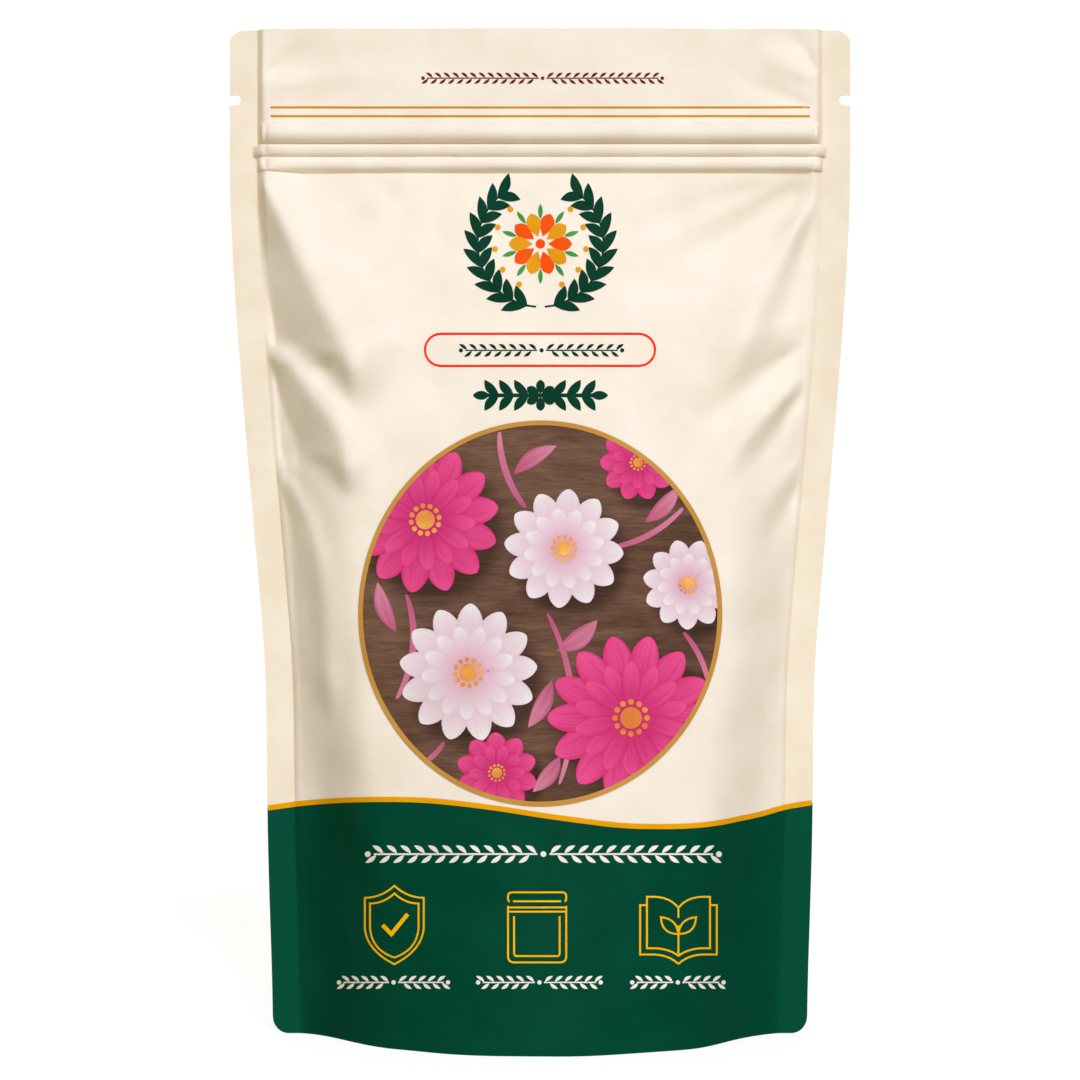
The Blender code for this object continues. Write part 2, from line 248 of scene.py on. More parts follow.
# The back's folds are the front's, lowered, tilted and made fainter. Those in the mouth stay level.
BACK_DROP, BACK_TILT, BACK_TILT_FROM, BACK_CREST = 6.5, 0.02, 100, 0.7
BACK_START_DROP, BACK_END_DROP, BACK_DROP_BELOW, BACK_RIPPLE = 4, 7, 190, 0.9


def mirrored(folds):
    """The back's pleats, like the front's but not quite in their places."""
    shifted = []
    for places, width, crest, drawn_up in folds:
        places = tuple((-x, z - BACK_DROP + BACK_TILT * (z - BACK_TILT_FROM)) for x, z in places)
        shifted.append((places, width, crest * BACK_CREST, drawn_up))
    return tuple(shifted)


def lowered(place, drop):
    return -place[0], place[1] - (place[1] < BACK_DROP_BELOW) * drop


PLEATS = {FRONT: FRONT_PLEATS, BACK: mirrored(FRONT_PLEATS)}
RIPPLES = {
    FRONT: FRONT_RIPPLES,
    BACK: tuple(
        (lowered(start, BACK_START_DROP), lowered(end, BACK_END_DROP), rise * BACK_RIPPLE, spread)
        for start, end, rise, spread in FRONT_RIPPLES
    ),
}
CREST_BLUR = 0.8 * MM
FACE_SLANT = 38 * MM
FACE_FALL = 1.25
# Along a pleat, as shares of its length: where it starts and ends, how narrow and low it begins,
# where it is full, and how far its bright side narrows again.
PLEAT_START, PLEAT_START_BLEND = -0.02, 0.12
PLEAT_END, PLEAT_END_BLEND = 1.12, 0.24
PINCHED_WIDTH, FULL_WIDTH_AT = 0.22, 0.8
EARLY_CREST, FULL_CREST_AT = 0.65, 0.7
BRIGHT_NARROWED, BRIGHT_NARROWED_FROM = 0.45, 0.5
# The same for a ripple, which runs on past its end and fades there.
RIPPLE_START_BLEND, RIPPLE_END, RIPPLE_END_BLEND = 0.3, 1.45, 0.75
NARROW_RIPPLE, WIDE_RIPPLE_AT = 0.35, 0.8


# %% Raise the pleats and ripples
def beside_line(across, height, start, end):
    """Share along a line, and the distance from it, positive on its right going down."""
    run = end - start
    length = max(float(np.hypot(*run)), 1e-9)
    along = ((across - start[0]) * run[0] + (height - start[1]) * run[1]) / length**2
    aside = ((across - start[0]) * run[1] - (height - start[1]) * run[0]) / length
    return along, aside, length


def beside_chain(across, height, places):
    """The same for a chain of places: travelled share, and signed distance from the chain."""
    places = np.array(places) * MM
    steps = np.hypot(*np.diff(places, axis=0).T)
    travelled = np.concatenate([[0], np.cumsum(steps)])
    nearest = np.full(height.shape, np.inf)
    share = np.zeros_like(height)
    signed = np.zeros_like(height)
    for index in range(len(steps)):
        along, aside, length = beside_line(across, height, places[index], places[index + 1])
        first, last = index == 0, index == len(steps) - 1
        held = np.clip(along, -9 if first else 0, 9 if last else 1)
        away = np.hypot(aside, (along - held) * length)
        closer = away < nearest
        nearest = np.where(closer, away, nearest)
        share = np.where(closer, (travelled[index] + held * length) / travelled[-1], share)
        signed = np.where(closer, np.copysign(away, aside), signed)
    return share, signed


def pleat_height(across, height, side):
    moved = np.zeros_like(height)
    for places, width, crest, drawn_up in PLEATS[side]:
        share, aside = beside_chain(across, height, places)
        aside = aside * (-1 if places[0][0] > 0 else 1)
        opened = PINCHED_WIDTH + (1 - PINCHED_WIDTH) * np.clip(share / FULL_WIDTH_AT, 0, 1)
        wide = width * MM * opened
        fallen = (np.hypot(aside, CREST_BLUR) + aside) / 2
        inner = (np.hypot(aside, CREST_BLUR) - aside) / 2
        risen = EARLY_CREST + (1 - EARLY_CREST) * smooth(share / FULL_CREST_AT)
        grown = smooth((share - PLEAT_START) / PLEAT_START_BLEND) * risen
        fade = smooth((PLEAT_END - share - fallen / FACE_SLANT) / PLEAT_END_BLEND)
        face = 1 - FACE_FALL * np.clip(fallen / wide, 0, 1)
        late = smooth((share - BRIGHT_NARROWED_FROM) / (1 - BRIGHT_NARROWED_FROM))
        bright = drawn_up * wide * (1 - BRIGHT_NARROWED * late)
        moved += crest * MM * grown * fade * face * np.exp(-((inner / bright) ** 2))
    return moved


def ripple_height(across, height, side):
    moved = np.zeros_like(height)
    for start, end, rise, spread in RIPPLES[side]:
        along, aside, _ = beside_line(across, height, np.array(start) * MM, np.array(end) * MM)
        wide = spread * MM * (NARROW_RIPPLE + (1 - NARROW_RIPPLE) * smooth(along / WIDE_RIPPLE_AT))
        fade = smooth(along / RIPPLE_START_BLEND) * smooth((RIPPLE_END - along) / RIPPLE_END_BLEND)
        moved += rise * MM * fade * np.exp(-((aside / wide) ** 2))
    return moved


# %% [markdown]
# No film is perfectly smooth, so a few long, faint waves run over it. Their directions and places
# are drawn once from a seeded generator, and they die out at the seals, which are pressed flat.

# %% Faint waves in the film
rng = np.random.default_rng(7)
WAVE_COUNT = 26
WAVE_HEIGHT, WAVE_USUAL_LENGTH = 0.085 * MM, 30 * MM
WAVE_LENGTHS = (12, 46)
# The waves fade towards the side seals and over the closing strip.
WAVE_CALM_REACH, STRIP_MIDDLE, STRIP_WAVES = 9 * MM, 185.3 * MM, 0.15
waves = {
    side: [
        (rng.uniform(*WAVE_LENGTHS) * MM, rng.uniform(0, math.pi), rng.uniform(0, 2 * math.pi))
        for _ in range(WAVE_COUNT)
    ]
    for side in (FRONT, BACK)
}


def faint_waves(across, height, side):
    total = np.zeros_like(height)
    for length, turn, start in waves[side]:
        reach = across * math.cos(turn) + height * math.sin(turn)
        total += np.sin(2 * math.pi * reach / length + start) * (length / WAVE_USUAL_LENGTH)
    off_strip = smooth(np.abs(height - STRIP_MIDDLE) / WAVE_CALM_REACH)
    calm = smooth((FREE_HALF - np.abs(across)) / WAVE_CALM_REACH)
    calm = calm * (STRIP_WAVES + (1 - STRIP_WAVES) * off_strip)
    return WAVE_HEIGHT * total * calm


# %% [markdown]
# All of these add up to one function that puts any flat place on the standing pouch. Where the
# gusset's plies lie under a panel, the panel is pushed out by their thickness.

# %% Put a flat place on the pouch
SEAL_AT_MIDDLE, SEAL_AT_SIDES, SEAL_CURVE = 5 * MM, 38 * MM, 2.2
FOLD_RISE_FROM, FOLD_RISE_OVER = 0.50, 0.42
FOLD_ROOM = 1.2 * MM
PLY_FADE = 6 * MM
NORMAL_STEP = 0.12 * MM


def gusset_seal(across):
    """Height to which the gusset is sealed to the panels."""
    share = np.clip(np.abs(across) / FREE_HALF, 0, 1)
    return SEAL_AT_MIDDLE + (SEAL_AT_SIDES - SEAL_AT_MIDDLE) * share**SEAL_CURVE


def gusset_fold(across):
    """Height of the gusset's middle fold."""
    share = np.clip(np.abs(across) / FREE_HALF, 0, 1)
    return GUSSET_DEPTH * smooth((share - FOLD_RISE_FROM) / FOLD_RISE_OVER)


def film_middle(across, height, side):
    """Points of the middle of a panel's film, one row each."""
    free = np.abs(across)
    held = np.minimum(free, FREE_HALF)
    x = between(SECTION_X, held, height) + np.maximum(free - FREE_HALF, 0)
    body = between(SECTION_DEPTH, held, height)
    out = np.hypot(body, mouth_and_strip(free, height, side))
    out += strip_relief(free, height) + shoulder(free, height)
    seen = np.copysign(x, across)
    folds = pleat_height(seen, height, side) + ripple_height(seen, height, side)
    out += folds * smooth((FREE_HALF + 0.2 * MM - free) / (2.4 * MM))
    out += faint_waves(across, height, side)
    gusset_top = np.maximum(gusset_seal(across), gusset_fold(across)) + FOLD_ROOM
    plies = smooth(1 + (gusset_top - height) / PLY_FADE)
    out = np.maximum(out, 0) + PLY / 2 + PLY * plies
    return np.stack([np.copysign(x, across), side * out, height], axis=1)


def film_normal(across, height, side):
    """Outward normals of a panel's film."""
    along = film_middle(across + NORMAL_STEP, height, side)
    along -= film_middle(across - NORMAL_STEP, height, side)
    up = film_middle(across, height + NORMAL_STEP, side)
    up -= film_middle(across, height - NORMAL_STEP, side)
    normal = np.cross(along, up)
    normal /= np.linalg.norm(normal, axis=1, keepdims=True)
    return normal * np.where(normal[:, 1:2] * side < 0, -1, 1)


def on_film(across, height, side, lift):
    """Points at a lift above the middle of a panel's film."""
    return film_middle(across, height, side) + lift * film_normal(across, height, side)


# %% [markdown]
# The print is drawn as it looks from the place the photograph was taken from, on an upright plane
# through the side seals. A line of sight runs from the eye through each place of the drawing to the
# film, and the film's depth there shifts the place a little, so it is found by a few repeats. The
# back is drawn in the same way for an eye behind the pouch.

# %% From the drawing to the film and back
EYE_DISTANCE, EYE_HEIGHT = 592 * MM, 103.3 * MM
SIGHT_REPEATS = 6
ACROSS_HALVINGS = 22


def flat_across(x, height):
    """The flat place across of a point that lies x from the middle."""
    low, high = np.zeros_like(x), np.full_like(x, FREE_HALF)
    for _ in range(ACROSS_HALVINGS):
        middle = (low + high) / 2
        beyond = between(SECTION_X, middle, height) > np.abs(x)
        low, high = np.where(beyond, low, middle), np.where(beyond, middle, high)
    spare = np.abs(x) - between(SECTION_X, np.full_like(x, FREE_HALF), height)
    return np.copysign(low + np.maximum(spare, 0), x)


def under_drawing(seen_x, seen_z, side):
    """Flat places of the film under places of the drawing."""
    depth = np.zeros_like(seen_x)
    for _ in range(SIGHT_REPEATS):
        nearer = 1 - depth / EYE_DISTANCE
        height = EYE_HEIGHT + (seen_z - EYE_HEIGHT) * nearer
        across = flat_across(-side * seen_x * nearer, height)
        depth = film_middle(across, height, side)[:, 1] * side
    return across, height


def as_seen(points, side):
    """Where points show on the drawing's plane."""
    nearer = 1 - points[:, 1] * side / EYE_DISTANCE
    return -side * points[:, 0] / nearer, EYE_HEIGHT + (points[:, 2] - EYE_HEIGHT) / nearer


# %% [markdown]
# ## Small helpers
# The frame leaves its objects selected, so each step starts by selecting nothing. A modifier is
# applied as soon as it is set, which keeps the finished piece a plain mesh at the origin.


# %% Helpers for pieces
def select_only(*objects):
    bpy.ops.object.select_all(action="DESELECT")
    for found in objects:
        found.select_set(True)
    bpy.context.view_layer.objects.active = objects[0]


def apply_modifier(piece, kind, **settings):
    select_only(piece)
    modifier = piece.modifiers.new(kind.lower(), kind)
    for key, value in settings.items():
        setattr(modifier, key, value)
    bpy.ops.object.modifier_apply(modifier=modifier.name)


def points_of(piece):
    flat = np.empty(len(piece.data.vertices) * 3)
    piece.data.vertices.foreach_get("co", flat)
    return flat.reshape(-1, 3)


def move_points(piece, points):
    piece.data.vertices.foreach_set("co", np.ascontiguousarray(points, dtype=np.float32).ravel())
    piece.data.update()


def keep_flat_places(piece, across, height):
    """Store the flat places on the points, so that a pattern can follow the film."""
    layer = piece.data.attributes.new("flat_place", "FLOAT_VECTOR", "POINT")
    places = np.stack([across, height, np.zeros_like(across)], axis=1)
    layer.data.foreach_set("vector", places.astype(np.float32).ravel())


def keep_number(piece, name, values):
    layer = piece.data.attributes.new(name, "FLOAT", "POINT")
    layer.data.foreach_set("value", np.asarray(values, dtype=np.float32))


def finish_piece(piece, name, slot, *materials):
    piece.name = name
    piece.data.name = name
    for material in materials:
        piece.data.materials.append(material)
    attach(piece, "root")
    return piece


# %% [markdown]
# ## The print's colours
# Colours are noted as they look on a screen, from 0 to 255, and turned into the linear values that
# Blender mixes. A shader tree is built from plain calls, and a small class keeps those calls short.


# %% Colours and shader trees
def paint(red, green, blue):
    """A screen colour as Blender's linear values."""
    parts = [value / 255 for value in (red, green, blue)]
    linear = [v / 12.92 if v <= 0.04045 else ((v + 0.055) / 1.055) ** 2.4 for v in parts]
    return (*linear, 1.0)


class Tree:
    """Adds nodes to a shader tree and joins them up."""

    def __init__(self, tree):
        self.tree = tree

    def add(self, kind, settings=None, **inputs):
        node = self.tree.nodes.new(kind)
        for key, value in (settings or {}).items():
            setattr(node, key, value)
        for key, value in inputs.items():
            self.feed(node, key.replace("_", " "), value)
        return node

    def feed(self, node, key, value):
        socket = node.inputs[int(key[1:])] if key[0] == "#" else node.inputs[key]
        if isinstance(value, bpy.types.NodeSocket):
            self.tree.links.new(value, socket)
        else:
            socket.default_value = value

    def math(self, operation, first, second=0.0, clamp=False):
        node = self.add("ShaderNodeMath", {"operation": operation, "use_clamp": clamp})
        self.feed(node, "#0", first)
        self.feed(node, "#1", second)
        return node.outputs[0]

    def mix(self, factor, first, second):
        node = self.add("ShaderNodeMix", {"data_type": "RGBA"})
        self.feed(node, "#0", factor)
        self.feed(node, "#6", first)
        self.feed(node, "#7", second)
        return node.outputs[2]

    def ramp(self, value, low, high):
        """A value spread from 0 at low to 1 at high."""
        node = self.add("ShaderNodeMapRange", {"clamp": True})
        for key, number in (("#0", value), ("#1", low), ("#2", high)):
            self.feed(node, key, number)
        return node.outputs[0]

    def noise(self, place, scale, detail=3.0, roughness=0.55):
        node = self.add("ShaderNodeTexNoise", Vector=place, Scale=scale, Detail=detail, Roughness=roughness)
        return node.outputs["Fac"]


def new_material(name):
    material = bpy.data.materials.new(name)
    material.use_nodes = True
    shader = material.node_tree.nodes["Principled BSDF"]
    return material, Tree(material.node_tree), shader


# %% [markdown]
# Every film and every ink on it shares one surface: a matte laminate over fine paper-like grain. A
# node group holds that effect once. It puts out a height for a Bump node, a mask of faint clouds
# that shifts the colour, and a roughness that varies a little.


# %% The shared laminate surface
def laminate_group():
    group = bpy.data.node_groups.new("matte laminate", "ShaderNodeTree")
    for name in ("Grain size", "Cloud size"):
        group.interface.new_socket(name, in_out="INPUT", socket_type="NodeSocketFloat")
    for name in ("Height", "Clouds", "Roughness"):
        group.interface.new_socket(name, in_out="OUTPUT", socket_type="NodeSocketFloat")
    tree = Tree(group)
    start = tree.add("NodeGroupInput")
    end = tree.add("NodeGroupOutput")
    place = tree.add("ShaderNodeTexCoord").outputs["Object"]
    grain = tree.noise(place, start.outputs["Grain size"], 3.0, 0.6)
    fibres = tree.noise(place, tree.math("MULTIPLY", start.outputs["Grain size"], 0.3), 2.0, 0.5)
    clouds = tree.noise(place, start.outputs["Cloud size"], 3.0, 0.5)
    height = tree.math("ADD", tree.math("MULTIPLY", grain, 0.4), tree.math("MULTIPLY", fibres, 0.6))
    tree.feed(end, "Height", height)
    tree.feed(end, "Clouds", clouds)
    tree.feed(end, "Roughness", tree.math("ADD", tree.math("MULTIPLY", grain, 0.12), 0.44))
    return group


LAMINATE = laminate_group()
SPECULAR = 0.025


def laminate_on(tree, shader, grain=1700.0, cloud=120.0, bump=0.16):
    """Place the shared surface in a material, and give back its clouds."""
    surface = tree.add("ShaderNodeGroup", {"node_tree": LAMINATE})
    surface.inputs["Grain size"].default_value = grain
    surface.inputs["Cloud size"].default_value = cloud
    relief = tree.add("ShaderNodeBump", Strength=bump, Distance=0.0003, Height=surface.outputs["Height"])
    tree.feed(shader, "Normal", relief.outputs[0])
    tree.feed(shader, "Roughness", surface.outputs["Roughness"])
    shader.inputs["Specular IOR Level"].default_value = SPECULAR
    return surface.outputs["Clouds"]


# %% [markdown]
# The panels are cream above a printed wave and dark green below it. Each point of the film stores
# its height above the wave, and the material changes colour where that number passes zero, so the
# edge stays crisp between points. Each point also stores how far it lies inside the seals. The free
# film's cream is paler than the seals', partly a deeper tint of the weld and partly a painted sheen,
# and the seals' green is a little lighter. The inner side is a white sealing layer.

# %% Film materials
# Painted sheen: the free film's cream is paler than the sealed cream, which keeps the weld's deeper tint.
CREAM, CREAM_CLOUD = paint(251, 241, 225), paint(246, 235, 216)
SEALED_CREAM, SEALED_CLOUD = paint(247, 235, 213), paint(242, 228, 204)
GREEN, GREEN_CLOUD = paint(0, 69, 48), paint(1, 73, 52)
SEALED_GREEN = paint(2, 79, 58)
INNER_WHITE, INNER_CLOUD = paint(232, 229, 221), paint(226, 223, 214)


def printed_film():
    material, tree, shader = new_material("printed film")
    clouds = tree.ramp(laminate_on(tree, shader), 0.35, 0.65)
    height = tree.add("ShaderNodeAttribute", {"attribute_name": "above_wave"}).outputs["Fac"]
    inside = tree.add("ShaderNodeAttribute", {"attribute_name": "inside_seal"}).outputs["Fac"]
    free = tree.ramp(inside, -0.15, 1.6)
    cream = tree.mix(clouds, CREAM_CLOUD, CREAM)
    sealed_cream = tree.mix(clouds, SEALED_CLOUD, SEALED_CREAM)
    green = tree.mix(clouds, GREEN, GREEN_CLOUD)
    # Painted sheen: the free film takes the paler cream and the seals the deeper one.
    upper = tree.mix(free, sealed_cream, cream)
    lower = tree.mix(free, SEALED_GREEN, green)
    cream_part = tree.ramp(height, -0.02, 0.02)
    tree.feed(shader, "Base Color", tree.mix(cream_part, lower, upper))
    return material


def one_colour(name, dark, light):
    """A film or ink of one colour, with faint clouds in it."""
    material, tree, shader = new_material(name)
    clouds = laminate_on(tree, shader)
    tree.feed(shader, "Base Color", tree.mix(tree.ramp(clouds, 0.35, 0.65), dark, light))
    return material


printed = printed_film()
sealing_white = one_colour("white sealing layer", INNER_CLOUD, INNER_WHITE)
gusset_green = one_colour("green gusset print", GREEN, GREEN_CLOUD)
print("materials:", [m.name for m in (printed, sealing_white, gusset_green)])

# %% [markdown]
# ## The front and back films
# A film could be a cloth simulation blown up between its seals. Here it is a grid bent by the
# function above, because the photograph fixes where each fold lies and a simulation would put them
# elsewhere. The rows are close together over the strip, where the creases are sharp.

# %% Rows and columns of a panel
COLUMN_RUNS = ((0.0, 51.3, 43), (51.3, 56.3, 7), (56.3, 61.3, 17), (61.3, 65.0, 4))
CREASE_ROWS = 10
BODY_ROWS = 150
MOUTH_ROWS = 20
WAVE_LINE = (
    (-66.0, 46.2), (-56.6, 47.25), (-50.3, 48.1), (-43.0, 48.7), (-35.6, 48.95), (-29.3, 48.95),
    (-23.0, 48.7), (-16.8, 48.1), (-8.4, 47.0), (0.0, 45.7), (8.4, 44.55), (16.8, 43.55),
    (23.0, 43.3), (29.3, 43.35), (33.5, 43.6), (37.7, 44.15), (41.9, 45.0), (46.1, 45.9),
    (50.7, 47.2), (55.7, 48.1), (66.0, 49.3),
)


def even_out(low, high, count):
    return list(np.linspace(low, high, count + 1))[:-1]


def panel_columns():
    half = []
    for low, high, cells in COLUMN_RUNS:
        half += even_out(low * MM, high * MM, cells)
    half.append(HALF_WIDTH)
    return np.array([-place for place in reversed(half[1:])] + half)


def panel_rows():
    rows = even_out(0.05 * MM, FILM_RIDGES[0][0] * MM, BODY_ROWS)
    turn = np.linspace(math.pi, 0, CREASE_ROWS + 1)[:-1]
    for low, high, *_ in FILM_RIDGES:
        rows += list(((low + high) / 2 + np.cos(turn) * (high - low) / 2) * MM)
    rows += even_out(MOUTH_HEIGHT, POUCH_HEIGHT, MOUTH_ROWS)
    return np.array(rows + [POUCH_HEIGHT])


def rounded(across, height):
    """Pull flat points that lie past a rounded corner back onto the round."""
    across, height = across.copy(), height.copy()
    for corner, radius, inward in ((POUCH_HEIGHT, TOP_CORNER, -1), (0.0, BOTTOM_CORNER, 1)):
        aside = np.abs(across) - (HALF_WIDTH - radius)
        ended = radius - np.abs(corner - height)
        reach = np.hypot(aside, ended)
        outside = (aside > 0) & (ended > 0) & (reach > radius)
        spare = np.where(outside, 1 - radius / np.maximum(reach, radius), 0)
        across -= np.copysign(aside * spare, across)
        height += inward * ended * spare
    return across, height


def wave_height(seen_x):
    """Height of the printed wave, a smooth line through a few places as seen from in front."""
    knots = np.array(WAVE_LINE) * MM
    x = np.clip(seen_x, knots[0, 0], knots[-1, 0])
    step = np.clip(np.searchsorted(knots[:, 0], x) - 1, 0, len(knots) - 2)
    slope = np.gradient(knots[:, 1], knots[:, 0])
    run = knots[step + 1, 0] - knots[step, 0]
    share = (x - knots[step, 0]) / run
    rise = knots[step + 1, 1] - knots[step, 1]
    start, end = slope[step] * run - rise, -slope[step + 1] * run + rise
    curved = share * (1 - share) * (start * (1 - share) + end * share)
    return knots[step, 1] + share * rise + curved


# %% Lay a grid and bend it
def bent_grid(columns, rows, form):
    """A primitive grid whose points are moved to where form puts their column and row."""
    bpy.ops.object.select_all(action="DESELECT")
    bpy.ops.mesh.primitive_grid_add(
        x_subdivisions=len(columns) - 1, y_subdivisions=len(rows) - 1, size=2, location=(0, 0, 0)
    )
    piece = bpy.context.object
    flat = points_of(piece)
    column = np.rint((flat[:, 0] + 1) / 2 * (len(columns) - 1)).astype(int)
    row = np.rint((flat[:, 1] + 1) / 2 * (len(rows) - 1)).astype(int)
    move_points(piece, form(piece, columns[column], rows[row]))
    return piece


def panel_form(side):
    def form(piece, across, height):
        across, height = rounded(across, height)
        points = film_middle(across, height, side)
        seen_x, seen_z = as_seen(points, side)
        keep_flat_places(piece, across, height)
        keep_number(piece, "above_wave", (seen_z - wave_height(seen_x)) / MM)
        keep_number(piece, "inside_seal", (FREE_HALF - np.abs(across)) / MM)
        return points

    return form


def panel(side, name, node):
    columns = panel_columns()[:: -side]
    film = bent_grid(columns, panel_rows(), panel_form(side))
    apply_modifier(
        film, "SOLIDIFY", thickness=FILM, offset=0, use_even_offset=True,
        material_offset=1, material_offset_rim=1,
    )
    select_only(film)
    bpy.ops.object.shade_smooth_by_angle(angle=math.radians(38))
    finish_piece(film, name, "panel_film", printed, sealing_white)
    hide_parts(node)
    return film


front_film = panel(FRONT, "front_film", "front_panel")
back_film = panel(BACK, "back_film", "back_panel")
print("front film faces:", len(front_film.data.polygons))

# %% [markdown]
# The tear notches are punched through both side seals at once. A round punch with its outer half
# drawn out past the edge leaves a slot with a round end.

# %% Punch the tear notches
NOTCH_HEIGHT, NOTCH_RADIUS, NOTCH_DEPTH = 195.4 * MM, 1.1 * MM, 2.3 * MM
PUNCH_LENGTH, PUNCH_OVERSHOOT = 8 * MM, 5 * MM


def notch_punch(side):
    centre = HALF_WIDTH - NOTCH_DEPTH + NOTCH_RADIUS
    bpy.ops.object.select_all(action="DESELECT")
    bpy.ops.mesh.primitive_cylinder_add(
        vertices=32, radius=NOTCH_RADIUS, depth=PUNCH_LENGTH,
        location=(side * centre, 0, NOTCH_HEIGHT), rotation=(math.pi / 2, 0, 0),
    )
    punch = bpy.context.object
    bpy.ops.object.transform_apply()
    points = points_of(punch)
    outer = (points[:, 0] * side) > centre - 0.01 * MM
    points[outer, 0] += side * PUNCH_OVERSHOOT
    move_points(punch, points)
    return punch


for side in (-1, 1):
    punch = notch_punch(side)
    for film in (front_film, back_film):
        apply_modifier(film, "BOOLEAN", operation="DIFFERENCE", object=punch)
    bpy.data.objects.remove(punch)
print("notched film faces:", len(front_film.data.polygons))

# %% [markdown]
# ## The bottom gusset
# The third film rises along each panel to its curved seal, then falls to the floor under the seeds.
# Its middle fold lies on the floor as a faint crease, and climbs at both ends into the side seals.

# %% Form the gusset
FLOOR_SHARE, FLOOR_CURVE = 0.6, 1.6
NARROW_FROM, NARROW_OVER = 0.3 * MM, 2.0 * MM
SEALED_ROWS, FREE_ROWS = 14, 26
CREASE_RISE, CREASE_SPREAD = 0.35 * MM, 1.6 * MM


def gusset_sealed(across, share, side):
    """The part of the gusset that is sealed to a panel."""
    height = np.maximum(gusset_seal(across) * share, 0.05 * MM)
    across, height = rounded(across, height)
    return on_film(across, height, side, -PLY)


def gusset_free(across, share, side):
    """The part of the gusset between its seal and its middle fold."""
    start = gusset_sealed(across, np.ones_like(across), side)
    seal = start[:, 2]
    fold = np.maximum(gusset_fold(across), FILM / 2)
    drop = np.clip(1 - share / FLOOR_SHARE, 0, 1) ** FLOOR_CURVE
    y = start[:, 1] * (1 - share)
    crease = CREASE_RISE * np.exp(-np.abs(y) / CREASE_SPREAD)
    wide = np.stack([start[:, 0], y, fold + (seal - fold) * drop + crease], axis=1)
    last = 1 - 1 / FREE_ROWS
    at_fold = share >= 1 - 1e-6
    tip = fold - PLY / 2
    up = np.where(at_fold, fold, seal + (tip - seal) * share / last)
    narrow = np.stack([start[:, 0], np.where(at_fold, 0, start[:, 1]), up], axis=1)
    weight = 1 - smooth((np.abs(start[:, 1]) - NARROW_FROM) / NARROW_OVER)[:, None]
    return wide * (1 - weight) + narrow * weight


def gusset_form(piece, across, row):
    side = np.where(row <= 0, FRONT, BACK)
    reach = 2 - np.abs(row)
    keep_flat_places(piece, across, row * GUSSET_DEPTH / 2)
    points = np.zeros((len(row), 3))
    for each in (FRONT, BACK):
        sealed = (side == each) & (reach <= 1)
        free = (side == each) & (reach > 1)
        points[sealed] = gusset_sealed(across[sealed], reach[sealed], each)
        points[free] = gusset_free(across[free], reach[free] - 1, each)
    return points


half_rows = list(np.linspace(-2, -1, SEALED_ROWS + 1))[:-1] + list(np.linspace(-1, 0, FREE_ROWS + 1))
gusset_rows = np.array(half_rows + [-row for row in reversed(half_rows[:-1])])
gusset_film = bent_grid(panel_columns(), gusset_rows, gusset_form)
apply_modifier(
    gusset_film, "SOLIDIFY", thickness=FILM, offset=0, material_offset=1, material_offset_rim=1
)
select_only(gusset_film)
bpy.ops.object.shade_smooth_by_angle(angle=math.radians(50))
finish_piece(gusset_film, "gusset_film", "gusset_film", sealing_white, gusset_green)
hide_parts("bottom_gusset")
print("gusset faces:", len(gusset_film.data.polygons))

# %% [markdown]
# ## Closing strip and seeds
# The two halves of the closing strip keep their solid shapes. They are milky polyethylene, pushed
# out through a die, so fine lines run along them. The seeds keep their heap too, which no one sees
# from outside: cells of noise round off into thousands of small seeds, each of its own brown, with
# painted shade in the gaps between them.

# %% Materials of the strip and the seeds
def strip_plastic():
    material, tree, shader = new_material("milky strip plastic")
    place = tree.add("ShaderNodeTexCoord").outputs["Object"]
    drawn_out = tree.add("ShaderNodeMapping", Vector=place, Scale=(0.03, 1.0, 1.0)).outputs[0]
    lines = tree.noise(drawn_out, 2600.0, 3.0)
    milk = tree.ramp(tree.noise(place, 160.0), 0.3, 0.7)
    tree.feed(shader, "Base Color", tree.mix(milk, (0.80, 0.82, 0.82, 1), (0.88, 0.89, 0.88, 1)))
    tree.feed(shader, "Roughness", tree.math("ADD", tree.math("MULTIPLY", lines, 0.20), 0.22))
    relief = tree.add("ShaderNodeBump", Strength=0.15, Distance=0.0002, Height=lines)
    tree.feed(shader, "Normal", relief.outputs[0])
    return material


def dry_seeds():
    material, tree, shader = new_material("dry brown seeds")
    place = tree.add("ShaderNodeTexCoord").outputs["Object"]
    cells = tree.add("ShaderNodeTexVoronoi", Vector=place, Scale=480.0)
    round_top = tree.math("SQRT", tree.math("SUBTRACT", 1.0, cells.outputs["Distance"], clamp=True))
    own = tree.add("ShaderNodeSeparateXYZ", Vector=cells.outputs["Color"]).outputs[0]
    skin = tree.mix(own, (0.085, 0.030, 0.018, 1), (0.25, 0.10, 0.055, 1))
    # Painted shade: the gaps between the seeds are darkened almost to black.
    painted_gap_shade = tree.ramp(cells.outputs["Distance"], 0.45, 0.85)
    tree.feed(shader, "Base Color", tree.mix(painted_gap_shade, skin, (0.02, 0.008, 0.005, 1)))
    tree.feed(shader, "Roughness", tree.math("ADD", tree.math("MULTIPLY", own, 0.2), 0.45))
    relief = tree.add("ShaderNodeBump", Strength=0.9, Distance=0.0008, Height=round_top)
    tree.feed(shader, "Normal", relief.outputs[0])
    return material


def dress(node, material):
    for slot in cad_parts[node].material_slots:
        slot.material = material


plastic = strip_plastic()
dress("zipper_groove_strip", plastic)
dress("zipper_ridge_strip", plastic)
dress("seed_fill", dry_seeds())
print("dressed:", [slot.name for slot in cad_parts["seed_fill"].material_slots])

# %% [markdown]
# ## Ink
# The print lies on the film as very thin sheets of ink, one for each colour. A shape is first drawn
# flat, in millimetres, as it looks from in front, and then laid on the film along the lines of
# sight, so that it bends over every fold. Each shape is a primitive grid with short steps, because
# a long step would cut through a curved film.

# %% Draw lines
DRAWN_STEP = 1.2


